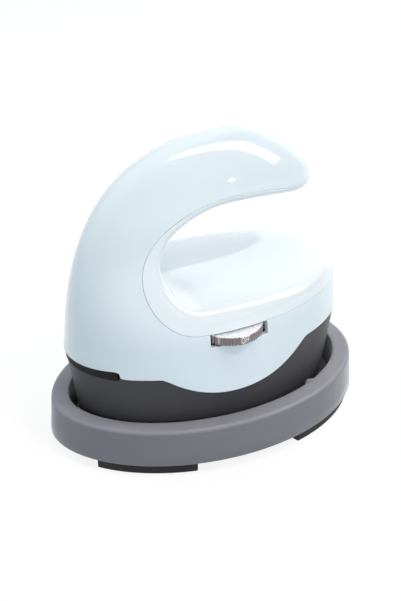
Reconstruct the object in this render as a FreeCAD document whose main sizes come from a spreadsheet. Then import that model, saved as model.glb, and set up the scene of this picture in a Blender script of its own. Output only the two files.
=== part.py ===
import FreeCAD, Part
import math
import os
import Sketcher
from FreeCAD import Rotation, Vector

# Mini handheld heat press on its stand. Millimetres, +X towards the round heel,
# -Y towards the heat dial, +Z up, origin on the floor under the middle of the stand.

doc = FreeCAD.newDocument("mini_heat_press")

# ---------------------------------------------------------------- sizes

SIZES = [
    ("plate_length", 105, "heat plate, tip to heel"),
    ("plate_width", 61, "heat plate, side to side"),
    ("plate_rim", 2.9, "thickness of the plate's edge"),
    ("plate_boss", 5.4, "height of the cast block on the plate"),
    ("plate_boss_inset", 3.5, "block set in from the plate's edge"),
    ("foot_height", 4.5, "rubber foot, floor to tray"),
    ("foot_inset", 1.2, "foot set in from the tray wall"),
    ("foot_width", 9, "width of a foot across the wall"),
    ("foot_draft", 0.5, "lean of a foot's outer face"),
    ("foot_start", 22, "feet from the middle, along X"),
    ("foot_length", 34, "length of a foot along X"),
    ("tray_wall_height", 15.3, "tray wall above the feet"),
    ("tray_floor", 2.2, "thickness of the tray floor"),
    ("tray_gap_end", 5.4, "plate to tray rim at the ends"),
    ("tray_gap_side", 5.35, "plate to tray rim at the sides"),
    ("tray_draft", 2.6, "lean of the tray wall"),
    ("tray_inner_draft", 0.6, "lean of the wall inside the tray"),
    ("rim_width", 5.6, "flat top of the tray rim"),
    ("rim_round", 1.6, "rounding of the rim's outer edge"),
    ("tip_power", 0.54, "roundness of the tray at the tip"),
    ("heel_power", 0.485, "roundness of the tray at the heel"),
    ("rib_turn", 44, "locating ribs, degrees from the heel"),
    ("rib_width", 3.5, "locating rib in the tray"),
    ("rib_depth", 1.6, "rib stands out of the tray wall"),
    ("pad_height", 2, "silicone rest pad"),
    ("pad_radius", 5, "silicone rest pad"),
    ("pad_x", 34, "rest pads from the middle, along X"),
    ("pad_y", 15, "rest pads from the middle, along Y"),
    ("skirt_gap", 0.3, "plate edge to heat shield"),
    ("skirt_overhang", 1.2, "heat shield wider than the plate"),
    ("skirt_step", 0.5, "heat shield set in under the shell"),
    ("skirt_wall", 2, "heat shield wall"),
    ("skirt_ledge", 3, "ledge inside the heat shield"),
    ("ear_radius", 4.5, "ears of the ledge, under the shell screws"),
    ("frame_z", 34, "underside of the inner frame"),
    ("frame_floor", 2, "floor of the inner frame"),
    ("frame_wall", 2, "ring of the inner frame"),
    ("frame_ring", 9, "height of the inner frame's ring"),
    ("joint_gap", 0.4, "gap between moulded covers"),
    ("shell_wall", 2.2, "wall of shell and cover"),
    ("shell_end", 5.88, "shell beyond the plate at each end"),
    ("shell_side", 4.56, "shell beyond the plate at each side"),
    ("shell_draft", 0.1, "shell leans in, mm per mm of height"),
    ("lip_z", 41, "height at which the shell's outline is taken"),
    ("tip_lip_z", 41.7, "shell's lower edge at the very tip"),
    ("lip_rise", 0.9, "lower edge rises from the tip to the notch"),
    ("heel_lip_z", 42, "shell's lower edge round the heel"),
    ("notch_z", 39.75, "lower edge behind the notch"),
    ("notch_x", -45.8, "notch in the lower edge"),
    ("slot_z", 38.3, "top of the heat shield round the tip"),
    ("wave_x", -3, "lowest point of the wave"),
    ("wave_z", 30.7, "lowest point of the wave"),
    ("wave_front", 29.3, "wave, low point to the notch side"),
    ("wave_back", 33.7, "wave, low point to the heel side"),
    ("wave_pull", 0.64, "how far the low point is drawn out, as a share"),
    ("wave_corner", 0.14, "how far the wave's upper ends are, share of that"),
    ("band_step", 0.6, "frame's band round the tip, set in under the shell"),
    ("nose_round_z", 55.82, "where the back of the handle starts"),
    ("nose_power", 2.64, "roundness of the back of the handle"),
    ("top_z", 121.93, "top of the handle"),
    ("top_x", 12.65, "highest point of the handle"),
    ("tip_x", 45.44, "free end of the handle"),
    ("tip_depth", 23.06, "the free end's rounding starts this far below the top"),
    ("tip_round", 1.46, "roundness of the free end"),
    ("handle_half", 19.65, "half the handle's width"),
    ("waist_low_z", 49.06, "sides start to lean in"),
    ("waist_depth", 27.02, "sides stop leaning in this far below the top"),
    ("crown_depth", 37.1, "handle starts to round over this far below the top"),
    ("crown_power", 1.95, "roundness of the handle's top"),
    ("saddle_z", 64, "top of the saddle"),
    ("root_x", -25.6, "inside of the handle's root"),
    ("root_share", 0.43228, "deepest point of the grip, share of its height"),
    ("root_low", 13.4, "length of the lower inside bend"),
    ("handle_depth", 23.23, "top of the handle to its underside"),
    ("under_x", 3.5, "highest point of the underside"),
    ("under_back", 52, "underside, highest point to its far end"),
    ("seam_drop", 8, "seam below the saddle"),
    ("seam_root", 8.5, "seam behind the grip"),
    ("seam_lift", 3.6, "seam above the underside"),
    ("seam_sag", 0.55, "seam's root lies lower, as a share of seam_root"),
    ("cover_round", 2.2, "rounded edge of the grip cover"),
    ("cover_skin", 2.4, "skin of the grip cover"),
    ("boss_radius", 5.4, "screw boss inside the shell"),
    ("boss_inset", 16.5, "screw bosses from the plate's ends"),
    ("boss_height", 12, "screw boss in the shell"),
    ("boss_roof", 2, "solid end of a screw boss"),
    ("post_radius", 4, "posts under the saddle"),
    ("post_pitch", 11, "posts from the heel's screw bosses, along X"),
    ("post_inset", 12.5, "posts from the plate's sides"),
    ("post_roof", 6, "solid end of a post"),
    ("screw_radius", 1.5, "shell screws"),
    ("screw_head", 3, "head radius of the shell screws"),
    ("screw_head_height", 2, "head of the shell screws"),
    ("screw_head_gap", 0.8, "screw heads to the heat shield's wall"),
    ("shell_screw_grip", 8, "shell screw in its boss"),
    ("cover_screw_grip", 14, "cover screw in its post"),
    ("board_screw_grip", 6, "board screw in its stand-off"),
    ("board_screw_head", 2.6, "head radius of the board screws"),
    ("hole_fit", 0.1, "clearance of loose holes"),
    ("plate_screw_inset", 18.5, "plate screws from the plate's ends"),
    ("plate_screw_y", 8, "plate screws along Y"),
    ("plate_screw_radius", 1.75, "plate screws"),
    ("plate_screw_grip", 4, "plate screw in the plate"),
    ("spacer_radius", 3.5, "steel spacers on the plate"),
    ("shield_z", 24, "underside of the insulation board"),
    ("shield_thickness", 2, "insulation board"),
    ("shield_inset", 2, "insulation board inside the block"),
    ("tube_radius", 3.2, "heating element tube"),
    ("bend_inset", 20.5, "element's legs from the plate's sides"),
    ("leg_inset", 36.5, "legs' ends from the plate's heel"),
    ("leg_length", 34, "straight legs of the element"),
    ("pin_inset", 3, "terminal pins from the legs' ends"),
    ("pin_radius", 1.2, "element terminal pins"),
    ("pin_length", 11, "element terminal pins"),
    ("bead_radius", 2.6, "ceramic beads on the pins"),
    ("bead_gap", 0.5, "beads above the element tube"),
    ("clamp_width", 10, "element clamp along X"),
    ("clamp_past", 0.8, "element clamp past the legs"),
    ("clamp_thickness", 1.2, "element clamp"),
    ("clamp_inset", 8, "first clamp from the U bend"),
    ("clamp_pitch", 14, "clamp to clamp"),
    ("clamp_boss", 4, "boss under each clamp"),
    ("sensor_radius", 1.6, "temperature sensor"),
    ("sensor_inset", 5, "temperature sensor, tip end from the legs' ends"),
    ("sensor_length", 10, "temperature sensor"),
    ("fuse_radius", 2, "thermal fuse"),
    ("fuse_inset", 6, "thermal fuse, tip end past the U bend"),
    ("fuse_length", 9, "thermal fuse"),
    ("board_z", 44, "underside of the control board"),
    ("board_thickness", 1.6, "control board"),
    ("board_inset", 22.5, "control board from the plate's tip"),
    ("board_ends", 57.5, "control board shorter than the plate"),
    ("board_sides", 23, "control board narrower than the plate"),
    ("tongue_width", 24, "tongue that carries the switch"),
    ("tongue_margin", 0.5, "tongue past the switch and into the board"),
    ("stand_off_radius", 3, "stand-offs under the board"),
    ("stand_off_inset", 4, "stand-offs from the board's edges"),
    ("dial_x", -1.4, "thumbwheel along X"),
    ("dial_radius", 13, "thumbwheel"),
    ("dial_thickness", 4, "thumbwheel"),
    ("dial_proud", 3.8, "thumbwheel stands out of the shell"),
    ("dial_teeth", 60, "knurls round the thumbwheel"),
    ("knurl_depth", 0.5, "depth of a knurl"),
    ("dial_clearance", 0.6, "thumbwheel to slot, above and below"),
    ("spindle_radius", 3, "dial spindle"),
    ("spindle_fit", 0.05, "running clearance of the spindle"),
    ("switch_size", 12, "rotary switch, square"),
    ("switch_height", 5.2, "rotary switch"),
    ("switch_floor", 0.9, "floor under the spindle in the switch"),
    ("relay_length", 15, "relay along X"),
    ("relay_width", 10, "relay across"),
    ("relay_height", 10, "relay"),
    ("relay_x", 14, "relay from the board's tip end"),
    ("capacitor_radius", 4, "capacitor"),
    ("capacitor_height", 9, "capacitor"),
    ("capacitor_x", 18, "capacitor from the board's heel end"),
    ("capacitor_inset", 11, "capacitor from the board's far side"),
    ("inlet_z", 49, "height of the cord inlet"),
    ("inlet_slope", 0.75, "cord inlet turns this far to the side"),
    ("cord_radius", 3.2, "bore for the supply cord"),
    ("gland_neck", 4.9, "gland where it passes the wall"),
    ("gland_fit", 0.1, "hole in the shell, larger than the neck"),
    ("gland_flange", 6, "flanges of the gland"),
    ("gland_flange_width", 2, "thickness of a flange"),
    ("gland_length", 10, "gland, end to end"),
    ("gland_stand", 0.8, "outer flange stands off the wall"),
    ("gland_slack", 2.7, "neck longer than the wall is thick"),
    ("clamp_back", 12, "cord clamp behind the wall"),
    ("cord_clamp_width", 16, "cord clamp across the cord"),
    ("cord_clamp_length", 5, "cord clamp along the cord"),
    ("cord_clamp_height", 4.6, "strap of the cord clamp"),
    ("cord_screw_radius", 1, "screws of the cord clamp"),
    ("cord_screw_head", 2, "head radius of the clamp's screws"),
    ("cord_screw_head_height", 1.4, "head of the clamp's screws"),
    ("cord_screw_inset", 2.6, "clamp's screws from its ends"),
    ("terminal_inset", 32.5, "terminal block, tip end from the plate's heel"),
    ("terminal_length", 10, "terminal block along X"),
    ("terminal_width", 14, "terminal block across"),
    ("terminal_height", 10, "terminal block"),
    ("wire_radius", 0.9, "inner wires"),
    ("wire_bend", 5, "bend of the inner wires"),
    ("wire_inset", 2, "wires from the terminal block's ends"),
    ("wire_rise", 2, "wires straight up out of the terminal block"),
    ("live_inset", 3, "live wire from the block's dial side"),
    ("neutral_inset", 10, "neutral wire from the block's dial side"),
    ("dome_flat", 0.15, "flat left on the very top of the shell"),
    ("draw_low", 4, "plan draws in from this far below the saddle"),
    ("draw_high", 7, "to this far below the underside"),
    ("beyond", 100, "cutting tools reach this far past the part"),
]

sheet = doc.addObject("Spreadsheet::Sheet", "Sizes")
for row, (alias, number, note) in enumerate(SIZES, start=1):
    sheet.set("A%d" % row, alias)
    sheet.set("B%d" % row, str(number))
    sheet.set("C%d" % row, note)
    sheet.setAlias("B%d" % row, alias)
doc.recompute()


def mm(text):
    """Value of an expression in the sheet's names."""
    return float(sheet.evalExpression(text))


def in_sheet(text):
    """The same expression as another object has to write it."""
    out = text
    for alias in sorted((line[0] for line in SIZES), key=len, reverse=True):
        out = out.replace(alias, "<%d>" % ALIAS_ORDER[alias])
    for alias, place in ALIAS_ORDER.items():
        out = out.replace("<%d>" % place, "Sizes." + alias)
    return out


ALIAS_ORDER = {line[0]: place for place, line in enumerate(SIZES)}

# Heights and half sizes that several pieces share, as expressions.
TRAY_TOP = "foot_height + tray_wall_height"
TRAY_LENGTH = "plate_length + 2 * (tray_gap_end + rim_width + tray_draft)"
TRAY_WIDTH = "plate_width + 2 * (tray_gap_side + rim_width + tray_draft)"
PAD_Z = "foot_height + tray_floor"
PLATE_Z = PAD_Z + " + pad_height"
BLOCK_Z = PLATE_Z + " + plate_rim"
BLOCK_TOP = BLOCK_Z + " + plate_boss"
CLAMP_Z = BLOCK_TOP + " + tube_radius"
SKIRT_Z = BLOCK_Z + " + skirt_gap"
SKIRT_TOP = "heel_lip_z - joint_gap"
SHELL_HALF_LENGTH = "plate_length / 2 + shell_end"
SHELL_HALF_WIDTH = "plate_width / 2 + shell_side"
FLOOR_TOP = "frame_z + frame_floor"
RING_TOP = FLOOR_TOP + " + frame_ring - frame_floor"
UNDER_Z = "top_z - handle_depth"
ROOT_Z = "saddle_z + root_share * (%s - saddle_z)" % UNDER_Z
SEAM_Z = "saddle_z - seam_drop"
BOARD_TOP = "board_z + board_thickness"
DIAL_TOP = SEAM_Z + " - dial_clearance"
DIAL_Z = DIAL_TOP + " - dial_thickness"
LEG_END = "plate_length / 2 - leg_inset"
BEND_RADIUS = "plate_width / 2 - bend_inset"
LEG_Y = {side: "%d * (%s)" % (side, BEND_RADIUS) for side in (-1, 1)}
CLAMP_REACH = "2 * (%s + tube_radius + clamp_past)" % BEND_RADIUS
BEND_X = LEG_END + " - leg_length"
LEAD_X = LEG_END + " - pin_inset"
CLAMP_X = BEND_X + " + clamp_inset"
BOSS_X = "plate_length / 2 - boss_inset"
POST_X = BOSS_X + " - post_pitch"
POST_Y = "plate_width / 2 - post_inset"
PLATE_SCREW_X = "plate_length / 2 - plate_screw_inset"
TERMINAL_X = "plate_length / 2 - terminal_inset"
TERMINAL_Y = "bend_inset - plate_width / 2"
BOARD_START = "board_inset - plate_length / 2"
BOARD_LENGTH = "plate_length - board_ends"
BOARD_WIDTH = "plate_width - board_sides"

# ---------------------------------------------------------------- helpers


def bind(thing, **links):
    """Bind properties to expressions; __ in a name stands for a dot."""
    for name, text in links.items():
        thing.setExpression(name.replace("__", "."), in_sheet(str(text)))
    return thing


def put(thing, x="0", y="0", z="0"):
    return bind(thing, Placement__Base__x=x, Placement__Base__y=y, Placement__Base__z=z)


def box(label, length, width, height, x="0", y="0", z="0"):
    """Box centred on x and y, standing on z."""
    thing = doc.addObject("Part::Box", label.replace(" ", "_"))
    thing.Label = label
    bind(thing, Length=length, Width=width, Height=height)
    return put(thing, "(%s) - (%s) / 2" % (x, length), "(%s) - (%s) / 2" % (y, width), z)


def rod(label, radius, height, x="0", y="0", z="0"):
    """Upright cylinder standing on z."""
    thing = doc.addObject("Part::Cylinder", label.replace(" ", "_"))
    thing.Label = label
    bind(thing, Radius=radius, Height=height)
    return put(thing, x, y, z)


def level_rod(label, radius, length, x, y, z):
    """Cylinder along +X from x."""
    thing = rod(label, radius, length, x, y, z)
    thing.Placement.Rotation = Rotation(Vector(0, 1, 0), 90)
    return thing


def oval(label, half_length, half_width, z):
    thing = doc.addObject("Part::Ellipse", label.replace(" ", "_"))
    thing.Label = label
    bind(thing, MajorRadius=half_length, MinorRadius=half_width)
    return put(thing, z=z)


def oval_block(label, half_length, half_width, height, z):
    """Upright elliptical block standing on z."""
    thing = doc.addObject("Part::Extrusion", label.replace(" ", "_"))
    thing.Label = label
    thing.Base = oval(label + " outline", half_length, half_width, z)
    thing.DirMode = "Custom"
    thing.Dir = Vector(0, 0, 1)
    thing.Solid = True
    return bind(thing, LengthFwd=height)


def fuse(label, pieces):
    thing = doc.addObject("Part::MultiFuse", label.replace(" ", "_"))
    thing.Label = label
    thing.Shapes = pieces
    return thing


def cut(label, base, tool):
    thing = doc.addObject("Part::Cut", label.replace(" ", "_"))
    thing.Label = label
    thing.Base = base
    thing.Tool = tool
    return thing


def group(label, pieces):
    """Identical pieces as one node of separate solids."""
    thing = doc.addObject("Part::Compound", label.replace(" ", "_"))
    thing.Label = label
    thing.Links = pieces
    return thing


def shaped(label, shape):
    """Node or tool whose shape comes from a formula."""
    thing = doc.addObject("Part::Feature", label.replace(" ", "_"))
    thing.Label = label
    thing.Shape = shape
    return thing


def corners(x, y):
    """The four places (+-x, +-y), as pairs of expressions."""
    return [("%s(%s)" % (i, x), "%s(%s)" % (j, y)) for i in ("", "-") for j in ("", "-")]


def screw(label, radius, grip, head_radius, head, x, y, z):
    """Screw with its head's top face at z, pointing down."""
    shank = rod(label + " shank", radius, grip, x, y, "%s - (%s)" % (z, grip))
    cap = rod(label + " head", head_radius, head, x, y, z)
    return fuse(label, [shank, cap])


def screw_from_below(label, radius, grip, head_radius, head, x, y, z):
    """Screw whose head hangs under z and whose shank rises from it."""
    shank = rod(label + " shank", radius, grip, x, y, z)
    cap = rod(label + " head", head_radius, head, x, y, "%s - (%s)" % (z, head))
    return fuse(label, [shank, cap])


# ---------------------------------------------------------------- shaped solids


def smooth(value):
    """Quintic step from 0 to 1."""
    value = min(max(value, 0.0), 1.0)
    return value ** 3 * (value * (6 * value - 15) + 10)


def round_off(height, low, high, power):
    """1 up to low, then falls to 0 at high like a super-ellipse."""
    share = min(max((height - low) / (high - low), 0.0), 1.0)
    return max(1 - share ** power, 0.0) ** (1 / power)


def dome_section(height, inset):
    """Back x, front x and half width of the body at a height."""
    top_z = mm("top_z") - inset
    top_x = mm("top_x")
    half_length = mm(SHELL_HALF_LENGTH) - mm("shell_draft") * (height - mm("lip_z")) - inset
    half_width = mm(SHELL_HALF_WIDTH) - mm("shell_draft") * (height - mm("lip_z")) - inset
    back = round_off(height, mm("nose_round_z"), top_z, mm("nose_power"))
    front = round_off(height, mm("top_z - tip_depth"), top_z, mm("tip_round"))
    draw_low = mm("saddle_z - draw_low")
    draw_high = mm(UNDER_Z + " - draw_high")
    reach = smooth((height - draw_low) / (draw_high - draw_low))
    waist = smooth((height - mm("waist_low_z")) / mm("top_z - waist_depth - waist_low_z"))
    crown = round_off(height, mm("top_z - crown_depth"), top_z, mm("crown_power"))
    back_x = top_x * (1 - back) - half_length * back
    far_x = half_length * (1 - reach) + (mm("tip_x") - inset) * reach
    front_x = top_x + (far_x - top_x) * front
    half = (half_width * (1 - waist) + (mm("handle_half") - inset) * waist) * crown
    return back_x, front_x, half


def closed_curve(points):
    curve = Part.BSplineCurve()
    curve.interpolate(Points=points, PeriodicFlag=True)
    return Part.Wire(curve.toShape())


def dome(inset, low_z, levels=22, spokes=24):
    """Solid of the whole body's outside, set in by inset, with a small flat on top."""
    rise = mm("top_z - dome_flat") - inset - low_z
    wires = []
    for level in range(levels + 1):
        height = low_z + rise * math.sin(math.pi / 2 * level / levels)
        back_x, front_x, half = dome_section(height, inset)
        turns = [2 * math.pi * spoke / spokes for spoke in range(spokes)]
        middle = (back_x + front_x) / 2
        reach = (front_x - back_x) / 2
        ring = [Vector(middle + reach * math.cos(t), half * math.sin(t), height) for t in turns]
        wires.append(closed_curve(ring))
    return Part.makeLoft(wires, True, False)


def quarter(centre_x, centre_z, half_x, half_z, start, stop):
    """Elliptical arc in the XZ plane; angles in degrees from +X towards +Z."""
    along = Vector(half_x, 0, 0) if half_x >= half_z else Vector(0, 0, half_z)
    across = Vector(0, 0, half_z) if half_x >= half_z else Vector(-half_x, 0, 0)
    centre = Vector(centre_x, 0, centre_z)
    ellipse = Part.Ellipse(centre + along, centre + across, centre)
    turn = 0 if half_x >= half_z else -90
    return Part.Arc(ellipse, math.radians(start + turn), math.radians(stop + turn)).toShape()


def across_the_part(edges):
    """Prism along Y, wider than the part, of a closed outline in the XZ plane."""
    face = Part.Face(Part.Wire(Part.__sortEdges__(edges)))
    face.translate(Vector(0, -mm("beyond"), 0))
    return face.extrude(Vector(0, 2 * mm("beyond"), 0))


def c_prism(grow_saddle, grow_root, grow_under):
    """Prism along Y of the space inside the C-shaped grip.

    Its floor is the saddle, its end the handle's root and its ceiling the handle's
    underside; the three growths move those walls outwards.
    """
    floor_z = mm("saddle_z") - grow_saddle
    root_x = mm("root_x") - grow_root
    under_z = mm(UNDER_Z) + grow_under
    root_z = mm(ROOT_Z) - grow_root * mm("seam_sag")
    under_x = mm("under_x")
    low_x = mm("root_x") + mm("root_low") - grow_root * 0.5
    back = mm("under_back") + grow_under * 0.5
    far_x = under_x + back
    reach = mm("beyond")
    low = quarter(low_x, root_z, low_x - root_x, root_z - floor_z, 180, 270)
    high = quarter(under_x, root_z, under_x - root_x, under_z - root_z, 90, 180)
    ceiling = quarter(under_x, root_z, back, under_z - root_z, 0, 90)
    walls = [
        low, high, ceiling,
        Part.makeLine(Vector(far_x, 0, root_z), Vector(reach, 0, root_z)),
        Part.makeLine(Vector(reach, 0, root_z), Vector(reach, 0, floor_z)),
        Part.makeLine(Vector(reach, 0, floor_z), Vector(low_x, 0, floor_z)),
    ]
    return across_the_part(walls)


def bezier(*poles):
    curve = Part.BezierCurve()
    curve.setPoles([Vector(x, 0, z) for x, z in poles])
    return curve.toShape()


def under_wave(lower):
    """Prism along Y of everything below the shell's lower edge, dropped by lower."""
    reach = mm("beyond")
    low_x, low_z = mm("wave_x"), mm("wave_z") - lower
    notch_z, heel_z = mm("notch_z") - lower, mm("heel_lip_z") - lower
    notch_x, rise = mm("notch_x"), mm("lip_rise")
    slope = rise / (notch_x + mm(SHELL_HALF_LENGTH))
    lip_z = mm("tip_lip_z") - lower + rise
    far_z = lip_z - slope * (notch_x + reach)
    start_x, end_x = low_x - mm("wave_front"), low_x + mm("wave_back")
    front_pull, back_pull = mm("wave_pull * wave_front"), mm("wave_pull * wave_back")
    corner = mm("wave_corner")
    edge = [
        Part.makeLine(Vector(-reach, 0, far_z), Vector(notch_x, 0, lip_z)),
        Part.makeLine(Vector(notch_x, 0, lip_z), Vector(notch_x, 0, notch_z)),
        Part.makeLine(Vector(notch_x, 0, notch_z), Vector(start_x, 0, notch_z)),
        bezier((start_x, notch_z), (start_x + corner * front_pull, notch_z),
               (low_x - front_pull, low_z), (low_x, low_z)),
        bezier((low_x, low_z), (low_x + back_pull, low_z),
               (end_x - corner * back_pull, heel_z), (end_x, heel_z)),
        Part.makeLine(Vector(end_x, 0, heel_z), Vector(reach, 0, heel_z)),
        Part.makeLine(Vector(reach, 0, heel_z), Vector(reach, 0, 0)),
        Part.makeLine(Vector(reach, 0, 0), Vector(-reach, 0, 0)),
        Part.makeLine(Vector(-reach, 0, 0), Vector(-reach, 0, far_z)),
    ]
    return across_the_part(edge)


def tray_outline(inset, height, spokes=40):
    """Outline of the tray at a height: an oval whose tip is a little sharper."""
    length = mm(TRAY_LENGTH) - 2 * inset
    width = mm(TRAY_WIDTH) - 2 * inset
    tip, heel = mm("tip_power"), mm("heel_power")
    widest = tip / (tip + heel)
    points = []
    for spoke in range(spokes):
        turn = 2 * math.pi * spoke / spokes
        share = (1 + math.cos(turn)) / 2
        swell = (share / widest) ** tip * ((1 - share) / (1 - widest)) ** heel
        side = math.copysign(1, math.sin(turn))
        points.append(Vector(length * (share - 0.5), side * width / 2 * swell, height))
    return closed_curve(points)


def tray_block(low_inset, high_inset, low_z, high_z):
    return Part.makeLoft([tray_outline(low_inset, low_z), tray_outline(high_inset, high_z)],
                         True, True)


def rounded_tray_block(low_z, top_z, steps=4):
    """Outside of the tray: leaning wall, then a quarter round up to the rim."""
    radius = mm("rim_round")
    lean = mm("tray_draft") - radius
    wires = [tray_outline(0, low_z)]
    for step in range(steps + 1):
        turn = math.pi / 2 * step / steps
        wires.append(tray_outline(lean + radius * (1 - math.cos(turn)),
                                  top_z - radius * (1 - math.sin(turn))))
    return Part.makeLoft(wires, True, True)


# ---------------------------------------------------------------- stand


def stand_tray():
    """Open tray with a leaning wall, a rounded rim and two locating ribs."""
    low_z, top_z = mm("foot_height"), mm(TRAY_TOP)
    block = rounded_tray_block(low_z, top_z)
    inner = mm("tray_draft") + mm("rim_width")
    floor_z = mm(PAD_Z)
    hollow = tray_block(inner + mm("tray_inner_draft"), inner, floor_z, top_z)
    ribs = []
    for turn in (-mm("rib_turn"), mm("rib_turn")):
        rib = Part.makeBox(mm("beyond"), mm("rib_width"), top_z - floor_z,
                           Vector(0, -mm("rib_width") / 2, floor_z))
        rib.rotate(Vector(0, 0, 0), Vector(0, 0, 1), turn)
        ribs.append(rib)
    wall_band = tray_block(inner - 1, inner - 1, floor_z, top_z)
    room = tray_block(inner + mm("rib_depth"), inner + mm("rib_depth"), floor_z - 1, top_z + 1)
    ribs = ribs[0].fuse(ribs[1:]).common(wall_band.cut(room))
    return shaped("stand_tray", block.cut(hollow).fuse(ribs).removeSplitter())


def stand_feet():
    """Four rubber feet cut out of one band under the tray wall."""
    inset, thick = mm("foot_inset"), mm("foot_height")
    start, length, reach = mm("foot_start"), mm("foot_length"), mm("beyond")
    band = tray_block(inset + mm("foot_draft"), inset, 0, thick)
    band = band.cut(tray_block(inset + mm("foot_width"), inset + mm("foot_width"), -1, thick + 1))
    feet = []
    for end, way in (("tip", -1), ("heel", 1)):
        for side, y in (("near", -reach), ("far", 0)):
            low_x = min(way * start, way * (start + length))
            quarter_room = Part.makeBox(length, reach, thick, Vector(low_x, y, 0))
            feet.append(shaped("foot_%s_%s" % (side, end), band.common(quarter_room)))
    return feet


def rest_pads():
    pads = [rod("rest pad %d" % number, "pad_radius", "pad_height", x, y, PAD_Z)
            for number, (x, y) in enumerate(corners("pad_x", "pad_y"))]
    return group("rest_pads", pads)


# ---------------------------------------------------------------- plate and element


def element_path(label, radius):
    """U-shaped tube lying in the block, with a given radius."""
    tube = doc.addObject("Part::Torus", label.replace(" ", "_") + "_bend")
    tube.Label = label + " bend"
    tube.Angle3 = 180
    bind(tube, Radius1=BEND_RADIUS, Radius2=radius)
    put(tube, BEND_X, "0", BLOCK_TOP)
    tube.Placement.Rotation = Rotation(Vector(0, 0, 1), 90)
    legs = [level_rod("%s leg %d" % (label, side), radius, "leg_length",
                      BEND_X, LEG_Y[side], BLOCK_TOP) for side in (-1, 1)]
    return fuse(label, [tube] + legs)


def heat_plate():
    """Cast plate: thin oval edge, thick block, element groove, bosses, screw holes."""
    rim = oval_block("plate rim", "plate_length / 2", "plate_width / 2", "plate_rim", PLATE_Z)
    block = oval_block("plate block", "plate_length / 2 - plate_boss_inset",
                       "plate_width / 2 - plate_boss_inset", "plate_boss", BLOCK_Z)
    bosses = [rod("clamp boss %d" % number, "clamp_boss", "tube_radius",
                  CLAMP_X + " + %d * clamp_pitch" % number, "0", BLOCK_TOP) for number in (0, 1)]
    solid = fuse("plate solid", [rim, block] + bosses)
    holes = [rod("plate hole %d" % number, "plate_screw_radius", "plate_screw_grip", x, y,
                 BLOCK_TOP + " - plate_screw_grip")
             for number, (x, y) in enumerate(corners(PLATE_SCREW_X, "plate_screw_y"))]
    holes += [rod("clamp hole %d" % number, "screw_radius", "tube_radius + plate_screw_grip",
                  CLAMP_X + " + %d * clamp_pitch" % number, "0", BLOCK_TOP + " - plate_screw_grip")
              for number in (0, 1)]
    groove = element_path("element groove", "tube_radius + spindle_fit")
    return cut("heat_plate", solid, fuse("plate hollows", holes + [groove]))


def heating_element():
    tube = element_path("element tube", "tube_radius")
    pins = [rod("element pin %d" % side, "pin_radius", "pin_length", LEAD_X,
                LEG_Y[side], BLOCK_TOP) for side in (-1, 1)]
    return fuse("heating_element", [tube] + pins)


def element_clamps():
    straps, screws = [], []
    for number in (0, 1):
        x = CLAMP_X + " + %d * clamp_pitch" % number
        strap = box("strap %d" % number, "clamp_width", CLAMP_REACH, "clamp_thickness", x, "0", CLAMP_Z)
        hole = rod("strap hole %d" % number, "screw_radius", "clamp_thickness", x, "0", CLAMP_Z)
        straps.append(cut("element clamp %d" % number, strap, hole))
        screws.append(screw("clamp screw %d" % number, "screw_radius",
                            "clamp_thickness + tube_radius + plate_screw_grip",
                            "screw_head", "screw_head_height", x, "0", CLAMP_Z + " + clamp_thickness"))
    return [group("element_clamps", straps), group("clamp_screws", screws)]


def ceramic_beads():
    beads = []
    for side in (-1, 1):
        place = (LEAD_X, LEG_Y[side], BLOCK_TOP + " + tube_radius + bead_gap")
        bead = rod("bead %d" % side, "bead_radius", "shield_z - (%s)" % place[2], *place)
        hole = rod("bead hole %d" % side, "pin_radius", "shield_z - (%s)" % place[2], *place)
        beads.append(cut("ceramic bead %d" % side, bead, hole))
    return group("ceramic_beads", beads)


def temperature_sensor():
    return level_rod("temperature_sensor", "sensor_radius", "sensor_length",
                     LEG_END + " - sensor_inset", "0", BLOCK_TOP + " + sensor_radius")


def thermal_fuse():
    return level_rod("thermal_fuse", "fuse_radius", "fuse_length",
                     BEND_X + " - fuse_inset", "0", BLOCK_TOP + " + fuse_radius")


def plate_fixings():
    """Spacers that carry the frame on the plate, and the screws through them."""
    spacers, screws = [], []
    for number, (x, y) in enumerate(corners(PLATE_SCREW_X, "plate_screw_y")):
        tall = "frame_z - (%s)" % BLOCK_TOP
        sleeve = rod("sleeve %d" % number, "spacer_radius", tall, x, y, BLOCK_TOP)
        bore = rod("sleeve bore %d" % number, "plate_screw_radius", tall, x, y, BLOCK_TOP)
        spacers.append(cut("plate spacer %d" % number, sleeve, bore))
        screws.append(screw("plate screw %d" % number, "plate_screw_radius",
                            "(%s) - (%s) + plate_screw_grip" % (FLOOR_TOP, BLOCK_TOP),
                            "spacer_radius", "screw_head_height", x, y, FLOOR_TOP))
    return [group("plate_spacers", spacers), group("plate_screws", screws)]


def insulation_board():
    board = oval_block("board oval", "plate_length / 2 - plate_boss_inset - shield_inset",
                       "plate_width / 2 - plate_boss_inset - shield_inset",
                       "shield_thickness", "shield_z")
    holes = [rod("shield hole %d" % number, "spacer_radius + hole_fit", "shield_thickness",
                 x, y, "shield_z")
             for number, (x, y) in enumerate(corners(PLATE_SCREW_X, "plate_screw_y"))]
    holes += [rod("shield pin hole %d" % side, "pin_radius + hole_fit", "shield_thickness", LEAD_X,
                  LEG_Y[side], "shield_z") for side in (-1, 1)]
    holes.append(rod("shield earth hole", "wire_radius + hole_fit", "shield_thickness",
                     EARTH_X, EARTH_Y, "shield_z"))
    return cut("insulation_board", board, fuse("shield holes", holes))


# ---------------------------------------------------------------- heat shield and frame


def skirt_half(which, height, inset):
    """Half length or half width of the heat shield at a height, as an expression."""
    low = "(plate_%s / 2 + skirt_overhang)" % which
    high = {"length": SHELL_HALF_LENGTH, "width": SHELL_HALF_WIDTH}[which]
    rise = "((%s) - (%s)) / ((%s) - (%s))" % (height, SKIRT_Z, SKIRT_TOP, SKIRT_Z)
    return "%s + (%s - skirt_step - %s) * %s - (%s)" % (low, high, low, rise, inset)


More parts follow.
